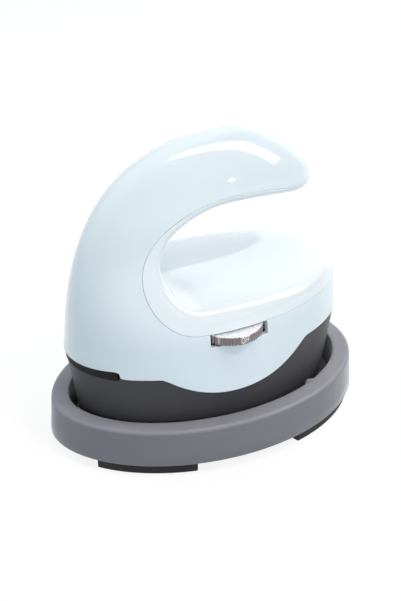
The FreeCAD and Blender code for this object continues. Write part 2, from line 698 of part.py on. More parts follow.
LEDGE_Z = "frame_z - skirt_wall"
INNER_LENGTH = skirt_half("length", LEDGE_Z, "skirt_wall")
INNER_WIDTH = skirt_half("width", LEDGE_Z, "skirt_wall")
BOSS_Y = "(%s) * sqrt(1 - ((%s) / (%s)) ^ 2) - screw_head - screw_head_gap" % (
    INNER_WIDTH, BOSS_X, INNER_LENGTH)


def skirt_loft(label, inset, low_z, high_z):
    ovals = [oval("%s %s" % (label, place), skirt_half("length", height, inset),
                  skirt_half("width", height, inset), height)
             for place, height in (("low", low_z), ("high", high_z))]
    loft = doc.addObject("Part::Loft", label.replace(" ", "_"))
    loft.Label = label
    loft.Sections = ovals
    loft.Solid = True
    loft.Ruled = True
    return loft


def heat_shield_skirt():
    """Leaning skirt with a ledge inside; its top follows the shell's lower edge."""
    outside = skirt_loft("skirt outside", "0", SKIRT_Z, SKIRT_TOP)
    inside = skirt_loft("skirt inside", "skirt_wall", SKIRT_Z, SKIRT_TOP)
    wall = cut("skirt wall", outside, inside)
    ledge = cut("skirt ledge",
                oval_block("ledge outside", skirt_half("length", LEDGE_Z, "skirt_wall / 2"),
                           skirt_half("width", LEDGE_Z, "skirt_wall / 2"), "skirt_wall", LEDGE_Z),
                oval_block("ledge inside", INNER_LENGTH + " - skirt_ledge",
                           INNER_WIDTH + " - skirt_ledge", "skirt_wall", LEDGE_Z))
    ears = [rod("skirt ear %d" % number, "ear_radius", "skirt_wall", x, y, LEDGE_Z)
            for number, (x, y) in enumerate(corners(BOSS_X, BOSS_Y))]
    bounded_ears = doc.addObject("Part::MultiCommon", "skirt_ears")
    bounded_ears.Label = "skirt ears"
    bounded_ears.Shapes = [fuse("skirt ears whole", ears),
                           skirt_loft("skirt middle", "skirt_wall / 2", SKIRT_Z, SKIRT_TOP)]
    holes = [rod("skirt ear hole %d" % number, "screw_radius", "skirt_wall", x, y, LEDGE_Z)
             for number, (x, y) in enumerate(corners(BOSS_X, BOSS_Y))]
    whole = cut("skirt whole", fuse("skirt solid", [wall, ledge, bounded_ears]),
                fuse("skirt ear holes", holes))
    below = doc.addObject("Part::MultiCommon", "skirt_below_shell")
    below.Label = "skirt below shell"
    below.Shapes = [whole, shaped("under the shell", under_wave(mm("joint_gap")))]
    slot = box("tip slot", "beyond", "2 * beyond", "beyond", "notch_x - beyond / 2", "0", "slot_z")
    return cut("heat_shield_skirt", below, slot)


def board_corners():
    """Places of the stand-offs under the control board."""
    xs = (BOARD_START + " + stand_off_inset",
          "%s + %s - stand_off_inset" % (BOARD_START, BOARD_LENGTH))
    ys = ("(%s) / 2 - stand_off_inset" % BOARD_WIDTH, "stand_off_inset - (%s) / 2" % BOARD_WIDTH)
    return [(x, y) for x in xs for y in ys]


def inner_frame():
    """Black frame: floor, ring, stand-offs, pillars for the shell and the clamp's seat."""
    length = skirt_half("length", "frame_z", "skirt_wall + joint_gap")
    width = skirt_half("width", "frame_z", "skirt_wall + joint_gap")
    floor = oval_block("frame floor", length, width, "frame_floor", "frame_z")
    ring = cut("frame ring",
               oval_block("ring outside", length, width, "frame_ring", "frame_z"),
               oval_block("ring inside", length + " - frame_wall", width + " - frame_wall",
                          "frame_ring", "frame_z"))
    inside = oval_block("frame bounds", length, width, "beyond", "frame_z")
    pieces = [floor, ring]
    holes = []
    for number, (x, y) in enumerate(board_corners()):
        pieces.append(rod("stand-off %d" % number, "stand_off_radius",
                          "board_z - (%s)" % FLOOR_TOP, x, y, FLOOR_TOP))
        holes.append(rod("stand-off hole %d" % number, "screw_radius", "board_z - (%s)" % FLOOR_TOP,
                         x, y, FLOOR_TOP))
    for number, (x, y) in enumerate(corners(BOSS_X, BOSS_Y)):
        pieces.append(rod("pillar %d" % number, "boss_radius", "frame_ring", x, y, "frame_z"))
        holes.append(rod("pillar hole %d" % number, "screw_radius", "frame_ring", x, y, "frame_z"))
    for number, (x, y) in enumerate(corners(PLATE_SCREW_X, "plate_screw_y")):
        holes.append(rod("frame hole %d" % number, "plate_screw_radius", "frame_floor", x, y, "frame_z"))
    for side in (-1, 1):
        holes.append(rod("post hole %d" % side, "screw_radius", "frame_floor", POST_X,
                         "%d * (%s)" % (side, POST_Y), "frame_z"))
        holes.append(rod("lead hole %d" % side, "bead_radius", "frame_floor", LEAD_X,
                         LEG_Y[side], "frame_z"))
    holes.append(rod("earth hole", "bead_radius", "frame_floor", EARTH_X, EARTH_Y, "frame_z"))
    holes.append(shaped("clamp channel", cord_cylinder("cord_radius", -mm(CLAMP_ROOM), 0)))
    pieces.append(shaped("clamp seat", clamp_block(mm(FLOOR_TOP), mm("inlet_z"))))
    bounded = doc.addObject("Part::MultiCommon", "frame_in_bounds")
    bounded.Label = "frame in bounds"
    bounded.Shapes = [fuse("frame whole", pieces), inside]
    drilled = cut("frame drilled", bounded, fuse("frame holes", holes))
    return fuse("inner_frame", [drilled, tip_band(length, width)])


def tip_band(ring_length, ring_width):
    """Band of the frame that stands between shell and heat shield round the tip."""
    tall = "tip_lip_z + lip_rise - slot_z - joint_gap"
    low_z = "slot_z + joint_gap"
    outside = oval_block("band outside", SHELL_HALF_LENGTH + " - band_step",
                         SHELL_HALF_WIDTH + " - band_step", tall, low_z)
    inside = oval_block("band inside", ring_length + " - frame_wall / 2",
                        ring_width + " - frame_wall / 2", tall, low_z)
    round_tip = box("band room", "beyond", "2 * beyond", "beyond",
                    "notch_x - joint_gap - beyond / 2", "0", low_z)
    band = doc.addObject("Part::MultiCommon", "tip_band")
    band.Label = "tip band"
    band.Shapes = [cut("band whole", outside, inside), round_tip,
                   shaped("under the tip's edge", under_wave(mm("joint_gap")))]
    return band


# ---------------------------------------------------------------- cord inlet


CLAMP_ROOM = "clamp_back + cord_clamp_length"


def inlet():
    """Point on the shell's wall where the cord enters, and the direction it leaves."""
    half_length = mm(SHELL_HALF_LENGTH) - mm("shell_draft") * (mm("inlet_z") - mm("lip_z"))
    half_width = mm(SHELL_HALF_WIDTH) - mm("shell_draft") * (mm("inlet_z") - mm("lip_z"))
    slope = mm("inlet_slope")
    angle = math.atan(slope * half_width / half_length)
    place = Vector(half_length * math.cos(angle), half_width * math.sin(angle), mm("inlet_z"))
    way = Vector(1, slope, 0)
    return place, way.normalize()


def cord_cylinder(radius, start, stop):
    """Cylinder on the cord's axis; start and stop count outwards from the wall."""
    place, way = inlet()
    return Part.makeCylinder(mm(radius), stop - start, place + way * start, way)


def clamp_block(low_z, high_z):
    """Upright block across the cord, behind the wall."""
    place, way = inlet()
    length, width = mm("cord_clamp_length"), mm("cord_clamp_width")
    block = Part.makeBox(length, width, high_z - low_z, Vector(-length / 2, -width / 2, 0))
    block.rotate(Vector(0, 0, 0), Vector(0, 0, 1), math.degrees(math.atan2(way.y, way.x)))
    middle = place - way * mm("clamp_back")
    block.translate(Vector(middle.x, middle.y, low_z))
    return block


def cord_gland():
    """Rubber bush: outer flange, neck through the wall, inner flange and tail."""
    width, stand = mm("gland_flange_width"), mm("gland_stand")
    back = stand - mm("shell_wall + gland_slack")
    start, stop = stand + width - mm("gland_length"), stand + width
    body = cord_cylinder("gland_neck", start, stop)
    body = body.fuse(cord_cylinder("gland_flange", stand, stop))
    body = body.fuse(cord_cylinder("gland_flange", back - width, back))
    return shaped("cord_gland", body.cut(cord_cylinder("cord_radius", start, stop)).removeSplitter())


def cord_clamp():
    """Strap over the cord and its two screws."""
    low_z = mm("inlet_z")
    top_z = low_z + mm("cord_clamp_height")
    strap = clamp_block(low_z, top_z).cut(cord_cylinder("cord_radius", -mm(CLAMP_ROOM), 0))
    place, way = inlet()
    middle = place - way * mm("clamp_back")
    across = Vector(-way.y, way.x, 0)
    screws = []
    for side in (-1, 1):
        spot = middle + across * side * mm("cord_clamp_width / 2 - cord_screw_inset")
        spot.z = low_z
        shank = Part.makeCylinder(mm("cord_screw_radius"), top_z - low_z, spot)
        strap = strap.cut(shank)
        spot.z = top_z
        head = Part.makeCylinder(mm("cord_screw_head"), mm("cord_screw_head_height"), spot)
        screws.append(shank.fuse(head))
    return [shaped("cord_clamp", strap), shaped("cord_clamp_screws", Part.makeCompound(screws))]


# ---------------------------------------------------------------- dial and electrics


def dial_place():
    """Axis of the thumbwheel as expressions; its rim stands proud of the shell."""
    wall = "(%s) - shell_draft * ((%s) + dial_thickness / 2 - lip_z)" % (SHELL_HALF_WIDTH, DIAL_Z)
    return "dial_x", "dial_radius - dial_proud - (%s)" % wall


def dial_wheel():
    """Thumbwheel: a disc with a bore and a ring of knurls."""
    body = doc.addObject("PartDesign::Body", "dial_wheel")
    body.Label = "dial_wheel"
    put(body, *dial_place(), DIAL_Z)
    flat = [f for f in body.Origin.OriginFeatures if f.Role == "XY_Plane"][0]
    upright = [f for f in body.Origin.OriginFeatures if f.Role == "Z_Axis"][0]

    disc = body.newObject("Sketcher::SketchObject", "dial_disc")
    disc.AttachmentSupport = [(flat, "")]
    disc.MapMode = "FlatFace"
    for name, radius in (("rim", "dial_radius"), ("bore", "spindle_radius")):
        index = disc.addGeometry(Part.Circle(Vector(0, 0, 0), Vector(0, 0, 1), mm(radius)))
        disc.addConstraint(Sketcher.Constraint("Coincident", index, 3, -1, 1))
        number = disc.addConstraint(Sketcher.Constraint("Radius", index, mm(radius)))
        disc.setExpression("Constraints[%d]" % number, in_sheet(radius))
    pad = body.newObject("PartDesign::Pad", "dial_pad")
    pad.Profile = disc
    bind(pad, Length="dial_thickness")

    notch = body.newObject("Sketcher::SketchObject", "dial_notch")
    notch.AttachmentSupport = [(flat, "")]
    notch.MapMode = "FlatFace"
    index = notch.addGeometry(Part.Circle(Vector(0, -mm("dial_radius"), 0), Vector(0, 0, 1),
                                          mm("knurl_depth")))
    notch.addConstraint(Sketcher.Constraint("PointOnObject", index, 3, -2))
    number = notch.addConstraint(Sketcher.Constraint("DistanceY", index, 3, -1, 1, mm("dial_radius")))
    notch.setExpression("Constraints[%d]" % number, in_sheet("dial_radius"))
    number = notch.addConstraint(Sketcher.Constraint("Radius", index, mm("knurl_depth")))
    notch.setExpression("Constraints[%d]" % number, in_sheet("knurl_depth"))
    pocket = body.newObject("PartDesign::Pocket", "dial_knurl")
    pocket.Profile = notch
    pocket.Reversed = True
    bind(pocket, Length="dial_thickness")

    ring = body.newObject("PartDesign::PolarPattern", "dial_knurls")
    ring.Originals = [pocket]
    ring.Axis = (upright, [""])
    ring.Angle = 360
    bind(ring, Occurrences="dial_teeth")
    body.Tip = ring
    return body


def dial_spindle():
    x, y = dial_place()
    low_z = BOARD_TOP + " + switch_floor + hole_fit"
    return rod("dial_spindle", "spindle_radius", "(%s) - (%s)" % (DIAL_TOP, low_z), x, y, low_z)


def rotary_switch():
    x, y = dial_place()
    case = box("switch case", "switch_size", "switch_size", "switch_height", x, y, BOARD_TOP)
    bore = rod("switch bore", "spindle_radius + spindle_fit", "switch_height", x, y,
               BOARD_TOP + " + switch_floor")
    return cut("rotary_switch", case, bore)


def control_board():
    """Board with a tongue towards the dial and four screw holes."""
    x, y = dial_place()
    middle = "%s + (%s) / 2" % (BOARD_START, BOARD_LENGTH)
    main = box("board plate", BOARD_LENGTH, BOARD_WIDTH, "board_thickness", middle, "0", "board_z")
    reach = "-(%s) + switch_size / 2 - (%s) / 2 + 2 * tongue_margin" % (y, BOARD_WIDTH)
    tongue = box("board tongue", "tongue_width", reach, "board_thickness", x,
                 "tongue_margin - (%s + %s) / 2" % (BOARD_WIDTH, reach), "board_z")
    holes = [rod("board hole %d" % number, "screw_radius", "board_thickness", x_at, y_at, "board_z")
             for number, (x_at, y_at) in enumerate(board_corners())]
    holes += [rod("board lead hole %d" % side, "wire_radius", "board_thickness", LEAD_X,
                  LEG_Y[side], "board_z") for side in (-1, 1)]
    return cut("control_board", fuse("board whole", [main, tongue]), fuse("board holes", holes))


def board_screws():
    return group("board_screws", [
        screw("board screw %d" % number, "screw_radius", "board_thickness + board_screw_grip",
              "board_screw_head", "screw_head_height", x, y, BOARD_TOP)
        for number, (x, y) in enumerate(board_corners())])


def board_parts():
    relay = box("power_relay", "relay_length", "relay_width", "relay_height",
                BOARD_START + " + relay_x", "0", BOARD_TOP)
    capacitor = rod("smoothing_capacitor", "capacitor_radius", "capacitor_height",
                    "%s + %s - capacitor_x" % (BOARD_START, BOARD_LENGTH), "(%s) / 2 - capacitor_inset" % BOARD_WIDTH, BOARD_TOP)
    return [relay, capacitor]


def terminal_block():
    return box("terminal_block", "terminal_length", "terminal_width", "terminal_height",
               TERMINAL_X + " + terminal_length / 2", TERMINAL_Y + " + terminal_width / 2", FLOOR_TOP)


EARTH_X = TERMINAL_X + " + terminal_length - wire_inset + 2 * wire_bend"
EARTH_Y = TERMINAL_Y + " + terminal_width / 2"
TERMINAL_TOP = FLOOR_TOP + " + terminal_height"


def hooked_wire(label, start_x, y, start_z, end_z, way):
    """Wire that rises, turns over in a half circle along X and comes down again."""
    top_z = "(%s) + wire_rise" % TERMINAL_TOP
    over = doc.addObject("Part::Torus", label.replace(" ", "_") + "_over")
    over.Label = label + " over"
    over.Angle3 = 180
    bind(over, Radius1="wire_bend", Radius2="wire_radius")
    put(over, "(%s) + %d * wire_bend" % (start_x, way), y, top_z)
    over.Placement.Rotation = Rotation(Vector(1, 0, 0), 90)
    ends = [rod(label + " rise", "wire_radius", "(%s) - (%s)" % (top_z, start_z), start_x, y, start_z),
            rod(label + " drop", "wire_radius", "(%s) - (%s)" % (top_z, end_z),
                "(%s) + %d * 2 * wire_bend" % (start_x, way), y, end_z)]
    return fuse(label, [over] + ends)


def wires():
    """Live and neutral to the board, earth down to the plate, and the element's leads."""
    tip_end = TERMINAL_X + " + wire_inset"
    heel_end = TERMINAL_X + " + terminal_length - wire_inset"
    live = hooked_wire("live_wire", tip_end, TERMINAL_Y + " + live_inset", TERMINAL_TOP, BOARD_TOP, -1)
    neutral = hooked_wire("neutral_wire", tip_end, TERMINAL_Y + " + neutral_inset", TERMINAL_TOP,
                          BOARD_TOP, -1)
    earth = hooked_wire("earth_wire", heel_end, EARTH_Y, TERMINAL_TOP, BLOCK_TOP, 1)
    low_z = BLOCK_TOP + " + pin_length"
    leads = [rod("lead %d" % side, "wire_radius", "(%s) - (%s)" % (BOARD_TOP, low_z),
                 LEAD_X, LEG_Y[side], low_z) for side in (-1, 1)]
    return [live, neutral, earth, group("element_leads", leads)]


# ---------------------------------------------------------------- shell and cover


def seam_prism(grow=0.0):
    """Space inside the seam between shell and cover, widened by grow."""
    return c_prism(mm("seam_drop") + grow, mm("seam_root") + grow, mm("seam_lift") + grow)


def body_shell(outside, inside):
    """Outer shell: body walls and the handle's outer skin, with bosses inside."""
    shell = outside.cut(inside).cut(seam_prism()).cut(under_wave(0))
    x, y = (mm(text) for text in dial_place())
    low_z = mm(DIAL_Z) - mm("dial_clearance")
    behind_wall = mm("dial_radius - dial_proud - shell_wall - dial_clearance")
    slot_half = math.sqrt(mm("dial_radius") ** 2 - behind_wall ** 2) + mm("dial_clearance")
    reach = mm("beyond")
    slot = Part.makeBox(2 * slot_half, reach, mm(SEAM_Z) - low_z, Vector(x - slot_half, y - reach, low_z))
    gland_room = mm("gland_length")
    shell = shell.cut(slot).cut(cord_cylinder("gland_neck + gland_fit", -gland_room, gland_room))
    bosses = []
    for boss_x, boss_y in corners(BOSS_X, BOSS_Y):
        foot = Vector(mm(boss_x), mm(boss_y), mm(RING_TOP))
        boss = Part.makeCylinder(mm("boss_radius"), mm("boss_height"), foot)
        bosses.append(boss.cut(Part.makeCylinder(mm("screw_radius"), mm("boss_height - boss_roof"), foot)))
    middle_skin = dome(mm("shell_wall / 2"), mm("frame_z"))
    bosses = bosses[0].fuse(bosses[1:]).common(middle_skin)
    bosses = bosses.cut(cord_cylinder("gland_flange + hole_fit", -mm(CLAMP_ROOM), 0))
    return shaped("body_shell", shell.fuse(bosses))


def grip_cover(outside, inside):
    """Saddle and underside of the grip in one skin, with two posts under the saddle."""
    gap = mm("joint_gap") / 2
    solid = outside.common(seam_prism(-gap)).cut(c_prism(0, 0, 0))
    solid = solid.makeFillet(mm("cover_round"), [edge for edge in solid.Edges if on_grip_edge(edge)])
    skin = mm("cover_skin")
    cover = solid.cut(inside.cut(c_prism(skin, skin, skin)))
    posts = []
    for side in (-1, 1):
        foot = Vector(mm(POST_X), side * mm(POST_Y), mm(FLOOR_TOP))
        tall = mm("saddle_z") - skin / 2 - foot.z
        post = Part.makeCylinder(mm("post_radius"), tall, foot)
        posts.append(post.cut(Part.makeCylinder(mm("screw_radius"), tall - mm("post_roof"), foot)))
    return shaped("grip_cover", cover.fuse(posts))


def on_grip_edge(edge):
    """True for the sharp edges where the grip's inside meets the body's outside."""
    spot = edge.valueAt((edge.FirstParameter + edge.LastParameter) / 2)
    crosses_the_skin = abs(spot.y) < 1
    return not crosses_the_skin and c_prism(0.05, 0.05, 0.05).isInside(spot, 0.01, True)


def cover_screws():
    screws = []
    for side in (-1, 1):
        screws.append(screw_from_below("cover screw %d" % side, "screw_radius",
                                       "frame_floor + cover_screw_grip", "screw_head",
                                       "screw_head_height", POST_X,
                                       "%d * (%s)" % (side, POST_Y), "frame_z"))
    return group("cover_screws", screws)


def shell_screws():
    return group("shell_screws", [
        screw_from_below("shell screw %d" % number, "screw_radius",
                         "skirt_wall + frame_ring + shell_screw_grip",
                         "screw_head", "screw_head_height", x, y, LEDGE_Z)
        for number, (x, y) in enumerate(corners(BOSS_X, BOSS_Y))])


# ---------------------------------------------------------------- build and export


def build():
    low_z = mm("wave_z") - 5
    outside = dome(0, low_z)
    inside = dome(mm("shell_wall"), low_z - 1)
    nodes = [stand_tray()] + stand_feet() + [rest_pads()]
    nodes += [heat_plate(), heating_element()] + element_clamps() + [ceramic_beads()]
    nodes += [temperature_sensor(), thermal_fuse()] + plate_fixings() + [insulation_board()]
    nodes += [heat_shield_skirt(), inner_frame(), cord_gland()] + cord_clamp()
    nodes += [dial_wheel(), dial_spindle(), rotary_switch(), control_board(), board_screws()]
    nodes += board_parts() + [terminal_block()] + wires()
    nodes += [body_shell(outside, inside), grip_cover(outside, inside)]
    nodes += [cover_screws(), shell_screws()]
    doc.recompute()
    return nodes


def export(nodes):
    os.makedirs("parts", exist_ok=True)
    for thing in doc.Objects:
        if "Invalid" in thing.State or "Error" in thing.State:
            raise RuntimeError("%s did not rebuild" % thing.Label)
    for node in nodes:
        if node.Shape.isNull() or not node.Shape.isValid():
            raise RuntimeError("%s has no valid shape" % node.Label)
        node.Shape.exportStep("parts/%s.step" % node.Label)
        print("%-22s solids %d volume %.1f" % (node.Label, len(node.Shape.Solids), node.Shape.Volume))


export(build())
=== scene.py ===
import math

import bmesh
import bpy
import numpy as np
from bpy.props import FloatProperty, FloatVectorProperty, IntProperty, PointerProperty
from bpy.types import Operator, Panel, PropertyGroup
from mathutils import Matrix, Vector


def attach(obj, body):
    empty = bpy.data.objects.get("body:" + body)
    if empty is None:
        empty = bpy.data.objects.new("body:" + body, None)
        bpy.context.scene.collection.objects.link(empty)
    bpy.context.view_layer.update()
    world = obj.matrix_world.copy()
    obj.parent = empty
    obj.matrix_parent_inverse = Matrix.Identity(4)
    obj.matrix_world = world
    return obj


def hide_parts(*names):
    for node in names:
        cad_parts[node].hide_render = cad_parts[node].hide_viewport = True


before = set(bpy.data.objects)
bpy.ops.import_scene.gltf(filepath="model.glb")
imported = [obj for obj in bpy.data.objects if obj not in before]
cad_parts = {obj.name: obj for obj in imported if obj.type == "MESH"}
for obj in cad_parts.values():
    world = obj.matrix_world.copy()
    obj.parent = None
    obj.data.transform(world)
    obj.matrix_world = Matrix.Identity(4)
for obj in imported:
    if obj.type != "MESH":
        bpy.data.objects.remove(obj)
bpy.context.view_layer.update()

bl_info = {
    "name": "Mini heat press",
    "version": (1, 0, 0),
    "blender": (4, 5, 0),
    "location": "View3D > Sidebar > Heat press",
    "description": "Covers, stand, dial and finishes of a mini handheld heat press",
    "category": "Object",
}

MM = 0.001

# -------------------- outline of the body, in mm

# Level oval at LEVEL_Z: half length and half width; its walls lean in by LEAN per mm.
NOSE_X, SIDE_Y, LEVEL_Z, LEAN = 58.38, 35.06, 41.0, 0.1
# Top of the handle, the x of its free end and half its width.
TOP_X, TOP_Z, TIP_X, GRIP_HALF = 12.65, 121.93, 45.44, 19.65
# Heights from which back, front and crown close to the top, and the powers of their curves.
BACK_Z, BACK_POWER = 55.82, 2.64
FRONT_Z, FRONT_POWER = 98.87, 1.46
CROWN_Z, CROWN_POWER = 84.83, 1.95
# Start and rise of the front's way to the free end, and of the sides' way to the handle.
REACH_Z, REACH_RISE = 60.0, 31.7
WAIST_Z, WAIST_RISE = 49.06, 45.85

# C round the fingers: the saddle, the root behind the fingers, the handle's underside.
SADDLE_Z, ROOT_X, ROOT_Z = 64.0, -25.6, 79.0
UNDER_X, UNDER_Z, UNDER_BACK = 3.5, 98.7, 52.0
# Length of the bend between saddle and root, and the x where the back's columns end on top.
LOW_BEND, SHOULDER_X = 13.4, -2.0
# The seam lies this far below the saddle, behind the root and above the underside.
SEAM_GROWTH, SEAM_SAG = (8.0, 8.5, 3.6), 0.55
SEAM_Z = SADDLE_Z - SEAM_GROWTH[0]

# Rounded edge of the grip: climb and inward reach at stations along the C.
EDGE_STATIONS = (0, 1, 2, 3, 3.5, 3.8, 4)
EDGE_CLIMB = (4.6, 4.6, 5.6, 5, 3.6, 7, 10)
EDGE_INWARD = (4.6, 4, 5, 5.2, 3.6, 7, 9)
# Columns over the C lean to the middle by these lengths at the heel and at the free end.
HEEL_TURN = 17.0
TIP_TURN, TIP_TURN_X, TIP_TURN_POWER = 14.0, 8.0, 2.2
# The saddle's swell: half axes of its oval, where it starts, how it fades, its upper limit.
SWELL_LENGTH, SWELL_WIDTH = 56.2, 32.0
SWELL_X, SWELL_FADE, SWELL_TOP = -24.0, 16.0, 70.0

# Lower edge of the shell: the lip round the tip, the notch, the wave, the lip at the heel.
NOTCH_X, NOTCH_Z, TIP_LIP_Z, LIP_RISE = -45.8, 39.75, 41.7, 0.9
NOTCH_HALF = 0.25
WAVE_X, WAVE_Z, WAVE_FRONT, WAVE_BACK = -3.0, 30.7, 29.3, 33.7
WAVE_PULL, WAVE_CORNER = 0.64, 0.14
HEEL_LIP_Z = 42.0

# Thumbwheel and its slot, and the hole round the cord's gland.
DIAL_X, DIAL_Y, DIAL_RADIUS = -1.4, -24.62, 13.0
DIAL_LOW, DIAL_HIGH = 51.4, 55.4
SLOT_LOW, SLOT_HALF = 50.8, 11.92
INLET, INLET_WAY = np.array([50.822, 12.641, 49.0]), np.array([0.8, 0.6, 0])
INLET_RADIUS = 5.2


def smooth(value):
    """Quintic step: 0 below 0, 1 above 1, flat at both ends."""
    value = np.clip(value, 0.0, 1.0)
    return value**3 * (value * (6 * value - 15) + 10)


def round_off(height, low, high, power):
    """1 up to low, then falls to 0 at high like a super-ellipse of that power."""
    share = np.clip((height - low) / (high - low), 0.0, 1.0)
    return (1 - share**power) ** (1 / power)


def body_section(height):
    """Back x, front x and half width of the body's level oval at each height."""
    half_length = NOSE_X - LEAN * (height - LEVEL_Z)
    half_width = SIDE_Y - LEAN * (height - LEVEL_Z)
    back = round_off(height, BACK_Z, TOP_Z, BACK_POWER)
    front = round_off(height, FRONT_Z, TOP_Z, FRONT_POWER)
    crown = round_off(height, CROWN_Z, TOP_Z, CROWN_POWER)
    reach = smooth((height - REACH_Z) / REACH_RISE)
    waist = smooth((height - WAIST_Z) / WAIST_RISE)
    back_x = TOP_X * (1 - back) - half_length * back
    far_x = half_length * (1 - reach) + TIP_X * reach
    front_x = TOP_X + (far_x - TOP_X) * front
    return back_x, front_x, (half_width * (1 - waist) + GRIP_HALF * waist) * crown


def body_oval(height):
    """Middle x and half length of the body's level oval at a height."""
    back_x, front_x, _ = body_section(height)
    return (back_x + front_x) / 2, (front_x - back_x) / 2


def body_side(x, height):
    """Half width of the body at x: the level oval's y, half times root(1 - share squared)."""
    back_x, front_x, half = body_section(height)
    middle, reach = (back_x + front_x) / 2, np.maximum((front_x - back_x) / 2, 1e-9)
    return half * np.sqrt(np.clip(1 - ((x - middle) / reach) ** 2, 0.0, None))


def chain(stops, counts):
    """Values from stop to stop in even steps; each run has its count of points."""
    runs = [np.linspace(*ends)[:-1] for ends in zip(stops, stops[1:], counts)]
    return np.concatenate([*runs, stops[-1:]])


def bezier(poles, count=60):
    """Points of a cubic curve through its first and last pole, pulled by the middle two."""
    t = np.linspace(0, 1, count)[:, None]
    a, b, c, d = (np.array(pole, float) for pole in poles)
    return (1 - t) ** 3 * a + 3 * (1 - t) ** 2 * t * b + 3 * (1 - t) * t**2 * c + t**3 * d


def lower_edge(x):
    """Height of the shell's lower edge: nearly level round the tip, a notch, a wave, level."""
    start, end = WAVE_X - WAVE_FRONT, WAVE_X + WAVE_BACK
    front, back = WAVE_PULL * WAVE_FRONT, WAVE_PULL * WAVE_BACK
    fall = bezier([(start, NOTCH_Z), (start + WAVE_CORNER * front, NOTCH_Z),
                   (WAVE_X - front, WAVE_Z), (WAVE_X, WAVE_Z)])
    rise = bezier([(WAVE_X, WAVE_Z), (WAVE_X + back, WAVE_Z),
                   (end - WAVE_CORNER * back, HEEL_LIP_Z), (end, HEEL_LIP_Z)])
    line = np.vstack([[(-NOSE_X, TIP_LIP_Z), (NOTCH_X - NOTCH_HALF, TIP_LIP_Z + LIP_RISE),
                       (NOTCH_X + NOTCH_HALF, NOTCH_Z)], fall, rise[1:], [(99, HEEL_LIP_Z)]])
    return np.interp(x, line[:, 0], line[:, 1])


def c_line(u, grow=(0, 0, 0)):
    """x and z of the C round the fingers, for u from 0 to 4.

    0 to 1 runs level from the heel over the saddle, 1 to 2 up the lower quarter ellipse,
    2 to 3 up the upper one, 3 to 4 down the flat quarter ellipse under the handle to its
    free end. grow moves the saddle down, the root back and the underside up.
    """
    u = np.asarray(u, float)
    floor_z, root_x, under_z = SADDLE_Z - grow[0], ROOT_X - grow[1], UNDER_Z + grow[2]
    low_x, back = ROOT_X + LOW_BEND - grow[1] / 2, UNDER_BACK + grow[2] / 2
    root_z = ROOT_Z - SEAM_SAG * grow[1]
    middle, reach = body_oval(floor_z)
    turn = np.clip(u, 0, 1) * np.arccos((low_x - middle) / reach)
    x = middle + reach * np.cos(turn)
    z = np.full_like(x, floor_z)
    turn = np.clip(u - 1, 0, 1) * math.pi / 2
    x = np.where(u > 1, low_x - (low_x - root_x) * np.sin(turn), x)
    z = np.where(u > 1, root_z - (root_z - floor_z) * np.cos(turn), z)
    turn = np.clip(u - 2, 0, 1) * math.pi / 2
    x = np.where(u > 2, UNDER_X - (UNDER_X - root_x) * np.cos(turn), x)
    z = np.where(u > 2, root_z + (under_z - root_z) * np.sin(turn), z)
    tip_z = root_z + (under_z - root_z) * math.sqrt(1 - ((TIP_X - UNDER_X) / back) ** 2)
    middle, reach = body_oval(tip_z)
    turn = np.clip(4 - u, 0, 1) * np.arccos((UNDER_X - middle) / reach)
    last_x = middle + reach * np.cos(turn)
    fall = root_z + (under_z - root_z) * np.sqrt(1 - ((last_x - UNDER_X) / back) ** 2)
    return np.where(u > 3, last_x, x), np.where(u > 3, fall, z)


def outer_line(u, corner):
    """x, z and sideways share of the line that bounds one side of the shell.

    Below corner it is the lower edge at the oval's own angle; above it the body's
    silhouette, evenly by length between a few stations, up the back, over and to the tip.
    """
    middle, reach = body_oval(SEAM_Z)
    seam_x, _ = c_line(np.minimum(u, 1), SEAM_GROWTH)
    turn = np.arccos(np.clip((seam_x - middle) / reach, -1, 1))
    bend = np.arccos((c_line(1, SEAM_GROWTH)[0] - middle) / reach)
    past = bend + (math.pi - bend) * np.clip((u - 1) / (corner - 1), 0, 1)
    turn = np.where(u > 1, past, turn)
    z = np.full_like(turn, LEVEL_Z)
    for _ in range(6):
        z = lower_edge((NOSE_X - LEAN * (z - LEVEL_Z)) * np.cos(turn))
    x = (NOSE_X - LEAN * (z - LEVEL_Z)) * np.cos(turn)
    count = 3000
    rise = TIP_LIP_Z + (TOP_Z - TIP_LIP_Z) * np.sin(np.linspace(0, math.pi / 2, count))
    tip_z = c_line(4, SEAM_GROWTH)[1]
    fall = tip_z + (TOP_Z - tip_z) * np.cos(np.linspace(0, math.pi / 2, 2000))
    sx = np.concatenate([body_section(rise)[0], body_section(fall)[1]])
    sz = np.concatenate([rise, fall])
    run = np.concatenate([[0], np.cumsum(np.hypot(np.diff(sx), np.diff(sz)))])
    saddle, shoulder = np.searchsorted(rise, SADDLE_Z), np.argmax(sx[:count] > SHOULDER_X)
    place = np.interp(u, (corner, 2, 3, 4), (0, run[saddle], run[shoulder], run[-1]))
    x = np.where(u > corner, np.interp(place, run, sx), x)
    z = np.where(u > corner, np.interp(place, run, sz), z)
    return x, z, np.where(u > corner, 0.0, np.sin(turn))


